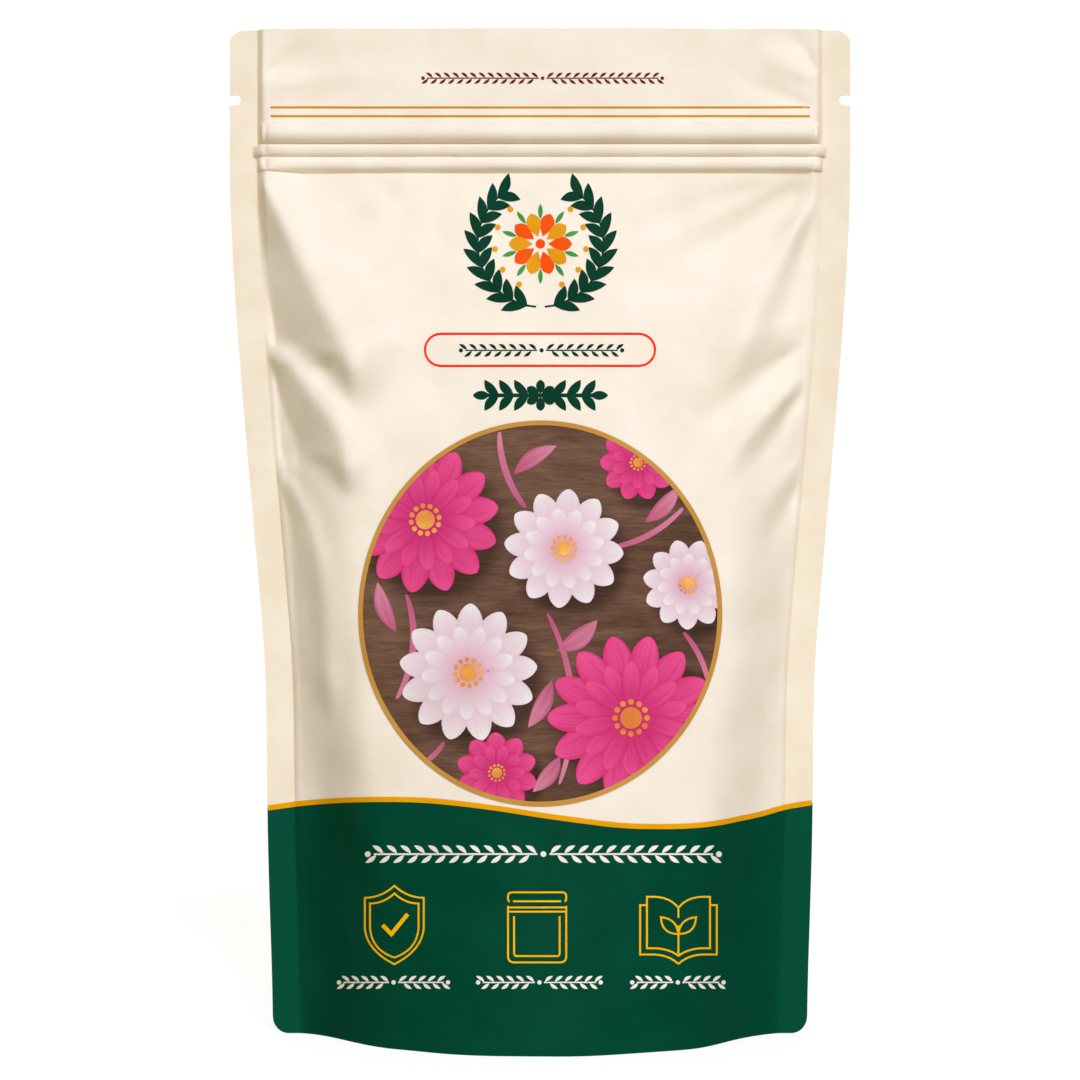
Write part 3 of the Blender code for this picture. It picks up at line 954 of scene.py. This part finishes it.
def drawn(columns, rows, shape):
    """A flat grid, bent by a shape that takes its shares along and up."""
    bpy.ops.object.select_all(action="DESELECT")
    bpy.ops.mesh.primitive_grid_add(x_subdivisions=columns, y_subdivisions=rows, size=1, location=(0, 0, 0))
    piece = bpy.context.object
    along, up = points_of(piece)[:, :2].T + 0.5
    x, z = shape(along, up)
    move_points(piece, np.stack([x, z, np.zeros_like(x)], axis=1))
    return piece


def stepped(corners, closed):
    """Places at short steps along a line, with its corners kept."""
    corners = np.array(list(corners) + ([corners[0]] if closed else []), dtype=float)
    places = [corners[:1]]
    for start, end in zip(corners[:-1], corners[1:]):
        count = math.ceil(math.dist(start, end) / DRAWN_STEP)
        places.append(start + (end - start) * np.arange(1, count + 1)[:, None] / max(count, 1))
    return np.concatenate(places)


def stroke(corners, width, closed=False):
    """A line of ink with mitred corners."""
    line = stepped(corners, closed)
    ahead = np.diff(line, axis=0)
    ahead /= np.hypot(*ahead.T)[:, None]
    into = np.concatenate([ahead[-1:] if closed else ahead[:1], ahead])
    onward = np.concatenate([ahead, ahead[:1] if closed else ahead[-1:]])
    mitre = into + onward
    mitre *= width / (mitre**2).sum(axis=1, keepdims=True)

    def shape(along, up):
        step = np.rint(along * (len(line) - 1)).astype(int)
        aside = 2 * up - 1
        return line[step, 0] - mitre[step, 1] * aside, line[step, 1] + mitre[step, 0] * aside

    return drawn(len(line) - 1, 1, shape)


def arc(centre, radius, start, end, steps=24):
    """Places along an arc, with angles in degrees, and one radius or two."""
    wide, high = np.broadcast_to(radius, 2)
    turns = np.radians(np.linspace(start, end, steps + 1))
    return [(centre[0] + wide * math.cos(t), centre[1] + high * math.sin(t)) for t in turns]


def bowed(start, pull, end, steps=8):
    """Places along a curve from start to end that leans towards pull."""
    start, pull, end = (np.array(place, dtype=float) for place in (start, pull, end))
    share = np.linspace(0, 1, steps + 1)[:, None]
    curve = (1 - share) ** 2 * start + 2 * share * (1 - share) * pull + share**2 * end
    return [tuple(place) for place in curve]


# %% [markdown]
# Leaves, petals and dots are one shape with other numbers: a patch that swells from its start and
# closes at its end. It is made once, coarse for small motifs and finer for large ones, and every
# leaf of the print is a bent copy with its own mesh. A trail is a thin stem with leaves on both
# sides in turn, which lean away from its middle.

# %% Draw leaves, petals and dots
small_leaf = drawn(8, 2, lambda along, up: (along, up))
large_leaf = drawn(14, 4, lambda along, up: (along, up))
LARGE_FROM = 4.5


def leaf(start, end, width, bow=0.0, fullness=1.0, skew=1.0, layer=0.0):
    """A copy of the flat leaf from start to end, bowed to its left."""
    start, run = np.array(start, dtype=float), np.subtract(end, start)
    length = math.hypot(*run)
    pattern = large_leaf if length > LARGE_FROM else small_leaf
    piece = pattern.copy()
    piece.data = pattern.data.copy()
    bpy.context.scene.collection.objects.link(piece)
    along, up = points_of(pattern)[:, :2].T
    travelled = (1 - np.cos(math.pi * along)) / 2
    lean = travelled**skew
    half = width * (4 * lean * (1 - lean)) ** fullness
    aside = 4 * bow * travelled * (1 - travelled) + half * (up - 0.5)
    left = np.array((-run[1], run[0])) / length
    place = start + travelled[:, None] * run + aside[:, None] * left
    move_points(piece, np.column_stack([place, np.full(len(place), layer)]))
    return piece


def dot(x, z, radius, layer=0.0):
    return leaf((x - radius, z), (x + radius, z), 2 * radius, fullness=0.5, layer=layer)


def trail(low, high, middle, height):
    """A stem with leaves above and below it in turn, and a dot at its middle and both ends."""
    centre, stem = (low + high) / 2, 0.10 * height
    count = round((high - low) / 2 / (0.42 * height))
    step = ((high - low) / 2 - 0.5 * height) / count
    shapes = [dot(x, middle, 0.17 * height) for x in (low, centre, high)]
    for way in (-1, 1):
        start, end = centre + way * 0.35 * height, centre + way * ((high - low) / 2 - 0.35 * height)
        shapes.append(stroke([(start, middle), (end, middle)], stem))
        for index in range(count):
            x, up = centre + way * (0.42 * height + step * index), (1, -1)[index % 2]
            tip = (x + way * 0.62 * height, middle + up * height / 2)
            shapes.append(leaf((x, middle + up * stem / 2), tip, 0.26 * height, way * up * 0.05 * height))
    return shapes


# %% [markdown]
# Shapes of one colour are joined, and points that meet are merged. Each sheet of ink floats a hair
# above the film, and later colours lie a little higher, so that no two sheets share one surface.

# %% Lay ink on the film
INK, INK_GAP, INK_LAYER = 0.012 * MM, 0.045 * MM, 0.020 * MM
MERGE = 0.004
EDGE_ROOM = 0.15 * MM
inks = {FRONT: [], BACK: []}


def ink(name, material, shapes, side=FRONT, layer=0):
    select_only(*shapes)
    if len(shapes) > 1:
        bpy.ops.object.join()
    piece = bpy.context.object
    bpy.ops.object.mode_set(mode="EDIT")
    bpy.ops.mesh.select_all(action="SELECT")
    bpy.ops.mesh.remove_doubles(threshold=MERGE)
    bpy.ops.object.mode_set(mode="OBJECT")
    x, z, raised = points_of(piece).T
    across, height = under_drawing(x * MM, z * MM, side)
    across = np.clip(across, EDGE_ROOM - HALF_WIDTH, HALF_WIDTH - EDGE_ROOM)
    lift = FILM / 2 + INK_GAP + INK_LAYER * (layer + raised)
    move_points(piece, on_film(across, height, side, lift[:, None]))
    apply_modifier(piece, "SOLIDIFY", thickness=INK, offset=1)
    select_only(piece)
    bpy.ops.object.shade_smooth_by_angle(angle=math.radians(50))
    finish_piece(piece, name, "panel_film", material)
    inks[side].append(piece)
    return piece


# %% [markdown]
# The rules, the edge of the wave and the pill are plain lines. The wave's gold edge runs on over the
# side seals to the edges of the film, as the printer lays it down before the seals are made.

# %% Rules, wave and pill
GOLD = one_colour("rule gold ink", paint(206, 142, 0), paint(214, 150, 2))
WAVE_GOLD = one_colour("wave gold ink", paint(234, 162, 4), paint(242, 170, 8))
RED = one_colour("red ink", paint(255, 40, 10), paint(250, 52, 18))
DARK_GREEN = one_colour("dark green ink", paint(4, 56, 38), paint(8, 64, 44))
BROWN = one_colour("brown ink", paint(104, 38, 20), paint(112, 46, 26))
RULE_HEIGHTS, RULE_WIDTH = (193.91, 192.08), 0.42
RULE_LEFT, RULE_RIGHT = -56.46, 56.52
WAVE_WIDTH = 1.1


def wave_edge(side):
    """The wave as far as the edges of the film."""
    edge = film_middle(np.array([HALF_WIDTH - EDGE_ROOM]), np.array([47.5 * MM]), side)
    reach = abs(float(as_seen(edge, side)[0][0]))
    x = np.linspace(-reach, reach, 108)
    return np.column_stack([x, wave_height(x)]) / MM


for side, part in ((FRONT, "front"), (BACK, "back")):
    rules = [stroke([(RULE_LEFT, z), (RULE_RIGHT, z)], RULE_WIDTH) for z in RULE_HEIGHTS]
    ink(f"{part}_rules_ink", GOLD, rules, side)
    ink(f"{part}_wave_ink", WAVE_GOLD, [stroke(wave_edge(side), WAVE_WIDTH)], side)

PILL_LEFT, PILL_RIGHT, PILL_LOW, PILL_HIGH = -24.09, 24.09, 139.75, 146.46
pill_round, pill_middle = (PILL_HIGH - PILL_LOW) / 2, (PILL_HIGH + PILL_LOW) / 2
pill_right = arc((PILL_RIGHT - pill_round, pill_middle), pill_round, -90, 90, 14)
pill_left = arc((PILL_LEFT + pill_round, pill_middle), pill_round, 90, 270, 14)
PILL_LINE = 0.48
ink("pill_ink", RED, [stroke(pill_right + pill_left, PILL_LINE, closed=True)])
ink("pill_trail_ink", DARK_GREEN, trail(-16.55, 17.2, 143.0, 2.6))
ink("top_trail_ink", BROWN, trail(-24.5, 25.6, 200.03, 2.3))
print("ink sheets so far:", len(inks[FRONT]), "in front and", len(inks[BACK]), "behind")

# %% [markdown]
# A wreath of leaves with berries goes round one open blossom. Its leaves follow two arcs that start
# at the foot, the way a real wreath is bound, and end just below the strip's lowest ridge.

# %% Wreath, berries and blossom
WREATH_CENTRE, WREATH_RADIUS = (0.1, 165.3), 13.2
WREATH_LEAVES = 10
WREATH_FOOT, WREATH_REACH = 12, 125
LEAF_LENGTH, LEAF_WIDTH = 5.4, 2.1
BERRY_RADIUS = 0.62


def on_wreath(turn, radius):
    turn = math.radians(turn)
    return WREATH_CENTRE[0] + radius * math.sin(turn), WREATH_CENTRE[1] - radius * math.cos(turn)


def wreath_half(way):
    leaves, berries = [], []
    for index in range(WREATH_LEAVES):
        turn = WREATH_FOOT + WREATH_REACH * index / (WREATH_LEAVES - 1)
        foot = on_wreath(way * turn, WREATH_RADIUS)
        for tilt in (-1, 1):
            ahead = math.degrees(LEAF_LENGTH * 0.80 / WREATH_RADIUS)
            tip = on_wreath(way * (turn + ahead), WREATH_RADIUS + tilt * LEAF_LENGTH * 0.56)
            leaves.append(leaf(foot, tip, LEAF_WIDTH, bow=way * tilt * 0.45))
        if index % 2:
            x, z = on_wreath(way * (turn + 2), WREATH_RADIUS - 3.6)
            berries.append(dot(x, z, BERRY_RADIUS))
    return leaves, berries


left_leaves, left_berries = wreath_half(-1)
right_leaves, right_berries = wreath_half(1)
stems = [
    stroke([on_wreath(way * turn, WREATH_RADIUS) for turn in range(4, 144, 8)], 0.42)
    for way in (-1, 1)
]
ink("wreath_leaves_ink", DARK_GREEN, left_leaves + right_leaves + stems)

ORANGE = one_colour("orange ink", paint(250, 76, 10), paint(244, 92, 18))
PETAL_GOLD = one_colour("petal gold ink", paint(224, 150, 14), paint(236, 164, 30))
LEAF_GREEN = one_colour("leaf green ink", paint(62, 140, 62), paint(84, 158, 74))
PETALS, PETAL_REACH, PETAL_WIDTH = 10, 6.6, 3.0


def petals_round(centre, count, inner, reach, width, turn=0.0, layer=0.0, **form):
    shapes = []
    for index in range(count):
        angle = math.radians(turn + 360 * index / count)
        ahead = np.array((math.cos(angle), math.sin(angle)))
        start, end = centre + inner * ahead, centre + reach * ahead
        shapes.append(leaf(start, end, width, layer=layer + 0.25 * (index % 2), **form))
    return shapes


centre = np.array(WREATH_CENTRE)
petals = petals_round(centre, PETALS, 1.6, PETAL_REACH, PETAL_WIDTH, fullness=0.8, skew=1.4)
ink("wreath_orange_ink", ORANGE, petals[::2] + [dot(*centre, 1.0, 2.0)])
ink("wreath_gold_ink", PETAL_GOLD, petals[1::2] + left_berries + right_berries, layer=1)
sepals = petals_round(centre, PETALS, 5.2, 8.4, 1.0, turn=180 / PETALS)
ink("wreath_sepals_ink", LEAF_GREEN, sepals)

# %% [markdown]
# A heavy sprig lies over the oval. Its leaves come in pairs from a middle blossom towards both ends.

# %% Heavy sprig
SPRIG_LEFT, SPRIG_RIGHT, SPRIG_LOW, SPRIG_HIGH = -14.04, 14.25, 130.33, 136.82
SPRIG_LEAF = 1.9
sprig_middle, half_height = (SPRIG_LOW + SPRIG_HIGH) / 2, (SPRIG_HIGH - SPRIG_LOW) / 2
sprig = [stroke([(SPRIG_LEFT + 1.5, sprig_middle), (SPRIG_RIGHT - 1.5, sprig_middle)], 0.8)]
for end in (SPRIG_LEFT, SPRIG_RIGHT):
    way = math.copysign(1, end)
    for foot in (2.4, 5.5, 8.6):
        for tilt in (-1, 1):
            tip = (way * (foot + 3.0), sprig_middle + tilt * half_height)
            sprig.append(leaf((way * foot, sprig_middle), tip, SPRIG_LEAF, -way * tilt * 0.35))
    sprig.append(leaf((way * 10.6, sprig_middle), (end, sprig_middle), SPRIG_LEAF, fullness=0.8))
sprig_form = {"turn": 90, "fullness": 0.7, "skew": 1.3}
sprig += petals_round(np.array((0.1, sprig_middle)), 6, 0.3, half_height, SPRIG_LEAF, **sprig_form)
ink("heavy_sprig_ink", DARK_GREEN, sprig)

# %% [markdown]
# ## The oval picture
# The oval shows blossoms laid on old brown boards. The boards are a grid squeezed into an oval,
# which keeps its cells even, with no pole in the middle. Soft shadows of the blossoms are stored on
# its points, and the wood itself is noise drawn out along the grain.

# %% Boards of the picture
OVAL_CENTRE, OVAL_HALF = (0.05, 87.9), (37.55, 39.9)
OVAL_LINE = 1.0
# Each blossom: its middle, reach, number of petals, turn, and whether it is pink.
BLOSSOMS = (
    ((-24.0, 107.5), 15.5, 13, 10, True),
    ((19.0, 66.0), 17.5, 14, 0, True),
    ((5.0, 101.5), 12.5, 12, 25, False),
    ((-15.0, 75.5), 14.5, 13, 5, False),
    ((31.0, 94.0), 9.5, 11, 40, False),
    ((-9.0, 54.5), 8.5, 10, 20, True),
    ((20.5, 119.5), 8.0, 10, 0, True),
)
SHADOW_SHIFT, SHADOW_DEPTH = (1.6, -2.2), 0.62


def squeezed(along, up):
    """A square's points moved evenly into the oval."""
    u, v = 2 * along - 1, 2 * up - 1
    x = u * np.sqrt(1 - v * v / 2)
    z = v * np.sqrt(1 - u * u / 2)
    return OVAL_CENTRE[0] + OVAL_HALF[0] * x, OVAL_CENTRE[1] + OVAL_HALF[1] * z


def printed_boards():
    material, tree, shader = new_material("printed boards")
    laminate_on(tree, shader)
    place = tree.add("ShaderNodeTexCoord").outputs["Object"]

    def along_grain(fine, across):
        turned = tree.add("ShaderNodeMapping", Vector=place, Rotation=(0, 0.10, 0), Scale=(1, 1, across))
        return tree.noise(turned.outputs[0], fine, 4.0, 0.6)

    blotch = tree.ramp(tree.noise(place, 45.0, 4.0), 0.35, 0.68)
    grain = tree.ramp(along_grain(55.0, 9.0), 0.34, 0.66)
    fine = tree.ramp(along_grain(260.0, 10.0), 0.40, 0.72)
    wood = tree.mix(grain, paint(76, 50, 40), paint(118, 86, 68))
    wood = tree.mix(tree.math("MULTIPLY", blotch, 0.55), wood, paint(140, 108, 86))
    wood = tree.mix(tree.math("MULTIPLY", fine, 0.5), wood, paint(62, 38, 30))
    shade = tree.add("ShaderNodeAttribute", {"attribute_name": "shade"}).outputs["Fac"]
    tree.feed(shader, "Base Color", tree.mix(shade, wood, paint(34, 20, 16)))
    return material


boards = drawn(72, 76, squeezed)
board_x, board_z, _ = points_of(boards).T
shade = np.zeros_like(board_x)
for (x, z), reach, *_ in BLOSSOMS:
    away = np.hypot(board_x - x - SHADOW_SHIFT[0], board_z - z - SHADOW_SHIFT[1])
    shade = np.maximum(shade, SHADOW_DEPTH * smooth((1.10 - away / reach) / 0.30))
keep_number(boards, "shade", shade)
ink("picture_boards_ink", printed_boards(), [boards])

# %% [markdown]
# Blossoms that reach past the oval are cut off by it, as in a cropped picture, by pulling their
# points back to its edge. Their colour runs from the middle of the flower to the tips, with fine
# streaks along each petal, read from the petal's own UV map.

# %% Blossoms of the picture
def cropped(shapes):
    for shape in shapes:
        points = points_of(shape)
        offset = (points[:, :2] - OVAL_CENTRE) / OVAL_HALF
        over = np.maximum(np.hypot(*offset.T), 1.0)[:, None]
        points[:, :2] = OVAL_CENTRE + offset / over * OVAL_HALF
        move_points(shape, points)
    return shapes


def petal_ink(name, middle, tip, streak, strength):
    material, tree, shader = new_material(name)
    laminate_on(tree, shader)
    coordinates = tree.add("ShaderNodeTexCoord")
    place = coordinates.outputs["UV"]
    parts = tree.add("ShaderNodeSeparateXYZ", Vector=place)
    fine = tree.add("ShaderNodeMapping", Vector=place, Scale=(1.2, 16.0, 1.0)).outputs[0]
    streaks = tree.ramp(tree.noise(fine, 1.0, 3.0), 0.42, 0.68)
    tone = tree.ramp(tree.noise(coordinates.outputs["Object"], 130.0), 0.3, 0.7)
    edge = tree.math("ABSOLUTE", tree.math("SUBTRACT", parts.outputs[1], 0.5))
    colour = tree.mix(tree.ramp(parts.outputs[0], 0.05, 0.85), middle, tip)
    colour = tree.mix(tree.math("MULTIPLY", tone, 0.30), colour, streak)
    colour = tree.mix(tree.math("MULTIPLY", streaks, strength), colour, streak)
    rim = tree.math("MULTIPLY", tree.ramp(edge, 0.36, 0.5), 0.6)
    tree.feed(shader, "Base Color", tree.mix(rim, colour, streak))
    return material


PINK = petal_ink("pink petal ink", paint(176, 24, 92), paint(240, 92, 152), paint(206, 30, 104), 0.55)
PALE = petal_ink("white petal ink", paint(214, 96, 150), paint(243, 241, 238), paint(222, 196, 208), 0.45)
HEART = one_colour("blossom heart ink", paint(250, 190, 90), paint(222, 128, 60))
STALK = petal_ink("stalk ink", paint(196, 92, 128), paint(226, 150, 172), paint(168, 66, 104), 0.6)
STAMENS = 12
coloured = {True: [], False: []}
hearts = []
for number, (middle, reach, count, turn, pink) in enumerate(BLOSSOMS):
    middle = np.array(middle)
    width = 2 * math.pi * reach * 0.66 / count * 1.22
    form = {"fullness": 0.62, "skew": 1.5}
    coloured[pink] += petals_round(middle, count, 0.9, reach, width, turn, **form)
    inner_turn = turn + 180 / count
    coloured[pink] += petals_round(middle, count, 0.7, 0.68 * reach, width * 0.68, inner_turn, 0.6, **form)
    hearts.append(dot(*middle, 0.13 * reach, 1.2))
    for stamen in range(STAMENS):
        angle = math.radians(turn + 360 * stamen / STAMENS)
        x, z = middle + 0.19 * reach * np.array((math.cos(angle), math.sin(angle)))
        hearts.append(dot(x, z, 0.035 * reach, 1.4))
STALKS = (
    ((-28.0, 92.0), (-30.0, 70.0), 1.5, 2.5), ((14.0, 101.5), (30.0, 110.0), 1.3, -1.6),
    ((1.5, 88.0), (4.0, 52.0), 1.4, 4.0), ((-3.0, 110.0), (-8.5, 126.0), 1.5, 1.5),
    ((30.0, 84.0), (35.5, 72.0), 1.2, 1.0), ((-20.0, 61.0), (-25.5, 56.0), 1.2, 0.6),
)
PICTURE_LEAVES = (
    ((3.5, 80.0), (12.0, 86.5), 4.0, -0.8), ((2.5, 74.0), (-2.5, 64.0), 3.6, 0.7),
    ((-30.0, 84.0), (-34.0, 94.5), 3.4, 0.8), ((-5.5, 117.0), (3.5, 123.0), 3.4, 0.7),
    ((22.0, 107.0), (29.0, 114.5), 3.4, -0.7), ((4.2, 58.0), (-1.5, 50.5), 3.4, 0.6),
)
greens = [leaf(start, end, width, bow, fullness=0.25) for start, end, width, bow in STALKS]
greens += [leaf(start, end, width, bow) for start, end, width, bow in PICTURE_LEAVES]
ink("picture_stalks_ink", STALK, cropped(greens), layer=2)
ink("picture_pale_petals_ink", PALE, cropped(coloured[False]), layer=3)
ink("picture_pink_petals_ink", PINK, cropped(coloured[True]), layer=5)
ink("picture_hearts_ink", HEART, cropped(hearts), layer=6)
OCHRE = one_colour("ochre ring ink", paint(196, 142, 62), paint(204, 152, 72))
oval_line = arc(OVAL_CENTRE, OVAL_HALF, 0, 360, 160)[:-1]
ink("picture_ring_ink", OCHRE, [stroke(oval_line, OVAL_LINE, closed=True)], layer=9)

# %% [markdown]
# ## Pictograms on the green
# A shield with a tick, a jar and an open book are drawn in thin gold lines. Their curves lean
# towards one pulled point each, which is enough for such small outlines.

# %% Gold pictograms
ICON_GOLD = one_colour("pictogram gold ink", paint(255, 196, 10), paint(250, 184, 4))
ICON_LINE, TICK_LINE = 0.38, 0.84
SHIELD_MIDDLE, BOOK_MIDDLE = -30.45, 28.93


def both_halves(half, middle):
    """A closed outline from its left half, which runs from the top to the foot."""
    return list(half) + [(2 * middle - x, z) for x, z in reversed(half[1:-1])]


def shield(inset):
    top, corner, straight, foot = 30.88 - 1.6 * inset, 28.35 - 1.2 * inset, 22.0, 14.44 + 1.4 * inset
    edge = -36.60 + 1.08 * inset
    half = bowed((SHIELD_MIDDLE, top), (-33.2 + 0.5 * inset, corner), (edge, corner), 7)
    half += bowed((edge, straight), (edge + 0.35, straight - 4.6), (SHIELD_MIDDLE, foot), 10)
    return both_halves(half, SHIELD_MIDDLE)


tick = stroke([(-32.89, 22.64), (-31.07, 20.76), (-27.65, 24.95)], TICK_LINE)
shields = [stroke(shield(inset), ICON_LINE, closed=True) for inset in (0, 1)]

LID_LEFT, LID_RIGHT = -6.69, 5.48
lid = (
    bowed((LID_LEFT + 0.3, 27.55), (LID_LEFT, 27.7), (LID_LEFT, 28.3), 3)
    + bowed((LID_LEFT, 28.7), (LID_LEFT, 29.5), (LID_LEFT + 0.9, 29.5), 4)
    + bowed((LID_RIGHT - 0.9, 29.5), (LID_RIGHT, 29.5), (LID_RIGHT, 28.7), 4)
    + bowed((LID_RIGHT, 28.3), (LID_RIGHT, 27.7), (LID_RIGHT - 0.3, 27.55), 3)
)
jar_body = (
    [(LID_LEFT, 26.66)]
    + bowed((LID_LEFT, 16.1), (LID_LEFT, 14.82), (LID_LEFT + 1.3, 14.82), 5)
    + bowed((LID_RIGHT - 1.3, 14.82), (LID_RIGHT, 14.82), (LID_RIGHT, 16.1), 5)
    + [(LID_RIGHT, 26.66)]
)
jar_inside = (
    [(-5.43, 24.47)]
    + bowed((-5.43, 16.8), (-5.43, 16.14), (-4.8, 16.14), 4)
    + bowed((3.5, 16.14), (4.11, 16.14), (4.11, 16.8), 4)
    + [(4.11, 24.47)]
)
jar_lines = [[(-5.65, 27.62), (4.4, 27.62)]]
jar_lines += [[(LID_LEFT, z), (LID_RIGHT, z)] for z in (26.33, 25.45)]
jar = [stroke(line, ICON_LINE) for line in [lid, jar_body, jar_inside, *jar_lines]]


def mirrored_line(line, middle):
    return [(2 * middle - x, z) for x, z in line]


cover = [(22.35, 26.82), (20.93, 26.82), (20.93, 16.47)]
cover += bowed((24.0, 16.47), (27.0, 16.3), (BOOK_MIDDLE, 14.49), 7)
page = (
    bowed((BOOK_MIDDLE, 26.22), (27.2, 28.57), (23.6, 28.57), 8) + [(22.35, 28.57), (22.35, 17.78)]
    + bowed((24.4, 17.78), (27.4, 17.5), (BOOK_MIDDLE, 16.14), 7)
)
sprout = bowed((BOOK_MIDDLE, 20.79), (28.6, 24.0), (25.25, 24.30), 7)
sprout += bowed((25.3, 23.9), (25.6, 20.9), (28.6, 20.79), 7)
book = [
    stroke([(BOOK_MIDDLE, top), (BOOK_MIDDLE, foot)], ICON_LINE)
    for top, foot in ((22.6, 16.2), (26.2, 24.19))
]
for half, closed in ((cover, False), (page, False), (sprout, True)):
    book += [stroke(line, ICON_LINE, closed) for line in (half, mirrored_line(half, BOOK_MIDDLE))]
ink("pictograms_ink", ICON_GOLD, shields + [tick] + jar + book)

# %% [markdown]
# White trails of small leaves run above and below the pictograms.

# %% White trails
WHITE = one_colour("white ink", paint(244, 242, 232), paint(236, 234, 222))
LOWER_TRAILS = ((-42.0, -19.2), (-12.93, 12.7), (19.28, 38.35))
ink("upper_white_trail_ink", WHITE, trail(-36.0, 37.4, 37.5, 3.6))
lower = [shape for low, high in LOWER_TRAILS for shape in trail(low, high, 10.63, 2.7)]
ink("lower_white_trails_ink", WHITE, lower)

# %% [markdown]
# The back isn't in the photograph. Such a pouch has sowing notes there, so it gets a white field to
# write on, ruled in dark green, with a sprig above it.

# %% Print of the back
FIELD_LEFT, FIELD_RIGHT, FIELD_LOW, FIELD_HIGH = -38.0, 38.0, 66.0, 128.0
FIELD_LINES = 7


def field_shape(along, up):
    return FIELD_LEFT + along * (FIELD_RIGHT - FIELD_LEFT), FIELD_LOW + up * (FIELD_HIGH - FIELD_LOW)


FIELD_WHITE = one_colour("field white ink", paint(250, 249, 244), paint(244, 242, 236))
ink("back_field_ink", FIELD_WHITE, [drawn(62, 52, field_shape)], BACK)
field_edge = [
    (FIELD_LEFT, FIELD_LOW), (FIELD_RIGHT, FIELD_LOW), (FIELD_RIGHT, FIELD_HIGH), (FIELD_LEFT, FIELD_HIGH),
]
field_lines = [stroke(field_edge, 0.5, closed=True)]
for number in range(FIELD_LINES):
    z = FIELD_LOW + 8 + number * (FIELD_HIGH - FIELD_LOW - 14) / (FIELD_LINES - 1)
    field_lines.append(stroke([(FIELD_LEFT + 5, z), (FIELD_RIGHT - 5, z)], 0.22))
ink("back_field_lines_ink", DARK_GREEN, field_lines, BACK, layer=1)
back_sprig = [stroke([(0, 140), (0, 166)], 0.5)]
for number, foot in enumerate((142, 147, 152, 157, 162)):
    for way in (-1, 1):
        back_sprig.append(leaf((0, foot), (way * (9 - number), foot + 8 - number * 0.6), 3.2, -way * 0.8))
back_sprig.append(leaf((0, 164), (0, 173), 3.0))
ink("back_sprig_ink", DARK_GREEN, back_sprig, BACK)
ink("back_trail_ink", WHITE, trail(-30, 30, 32, 3.4), BACK)
for pattern in (small_leaf, large_leaf):
    bpy.data.objects.remove(pattern)
print("ink sheets:", len(inks[FRONT]), "in front and", len(inks[BACK]), "behind")

# %% [markdown]
# ## Floor, light and camera
# The photograph stands the pouch on white, lit softly from the front, above and a little from the
# right. A bright world and floor give the white. The key light, a little from the right, gives the
# folds their shade, a broad light in front fills them, and one behind lights the back.

# %% Stage
bpy.ops.object.select_all(action="DESELECT")
bpy.ops.mesh.primitive_plane_add(size=8, location=(0, 0, 0))
floor = bpy.context.object
floor.name = "studio_floor"
floor_material, _, floor_shader = new_material("pale floor")
floor_shader.inputs["Base Color"].default_value = (0.22, 0.22, 0.22, 1)
floor_shader.inputs["Roughness"].default_value = 0.9
floor_shader.inputs["Specular IOR Level"].default_value = 0.0
floor_shader.inputs["Emission Color"].default_value = (1, 1, 1, 1)
floor_shader.inputs["Emission Strength"].default_value = 0.86
floor.data.materials.append(floor_material)
floor.visible_diffuse = False
floor.visible_glossy = False

WORLD_LIGHT, WORLD_SEEN = 0.345, 1.05
WORLD_COLOUR, SEEN_COLOUR = (1.07, 0.95, 0.66, 1), (1, 1, 1, 1)
world = bpy.data.worlds.new("studio")
world.use_nodes = True
world_tree = Tree(world.node_tree)
background = world.node_tree.nodes["Background"]
seen = world_tree.add("ShaderNodeLightPath").outputs["Is Camera Ray"]
world_tree.feed(background, "Color", world_tree.mix(seen, WORLD_COLOUR, SEEN_COLOUR))
seen_white = world_tree.math("MULTIPLY", seen, WORLD_SEEN - WORLD_LIGHT)
world_tree.feed(background, "Strength", world_tree.math("ADD", seen_white, WORLD_LIGHT))
bpy.context.scene.world = world


def soft_light(name, toward, strength, spread, colour=(1, 1, 1)):
    """Even light from one direction, soft as from a softbox that looks spread degrees wide."""
    data = bpy.data.lights.new(name, "SUN")
    data.energy = strength * math.pi
    data.angle = math.radians(spread)
    data.color = colour
    light = bpy.data.objects.new(name, data)
    bpy.context.scene.collection.objects.link(light)
    x, y, z = toward
    light.rotation_euler = (math.atan2(math.hypot(x, y), z), 0, math.atan2(x, -y))
    return light


soft_light("key", (0.22, -0.77, 0.60), 0.55, 16, (0.95, 1.02, 1.27))
soft_light("front", (0.0, -1.0, -0.18), 0.28, 50, (1.02, 0.98, 0.93))
soft_light("rear", (-0.2, 1.0, 0.35), 0.60, 50)

LENS = 94.19
camera_data = bpy.data.cameras.new("camera")
camera_data.lens = LENS
camera_data.sensor_width = 36
camera_data.clip_start, camera_data.clip_end = 0.01, 50
camera = bpy.data.objects.new("camera", camera_data)
camera.location = (0, -EYE_DISTANCE, EYE_HEIGHT)
camera.rotation_euler = (math.pi / 2, 0, 0)
bpy.context.scene.collection.objects.link(camera)
bpy.context.scene.camera = camera
bpy.context.scene.view_settings.view_transform = "Standard"
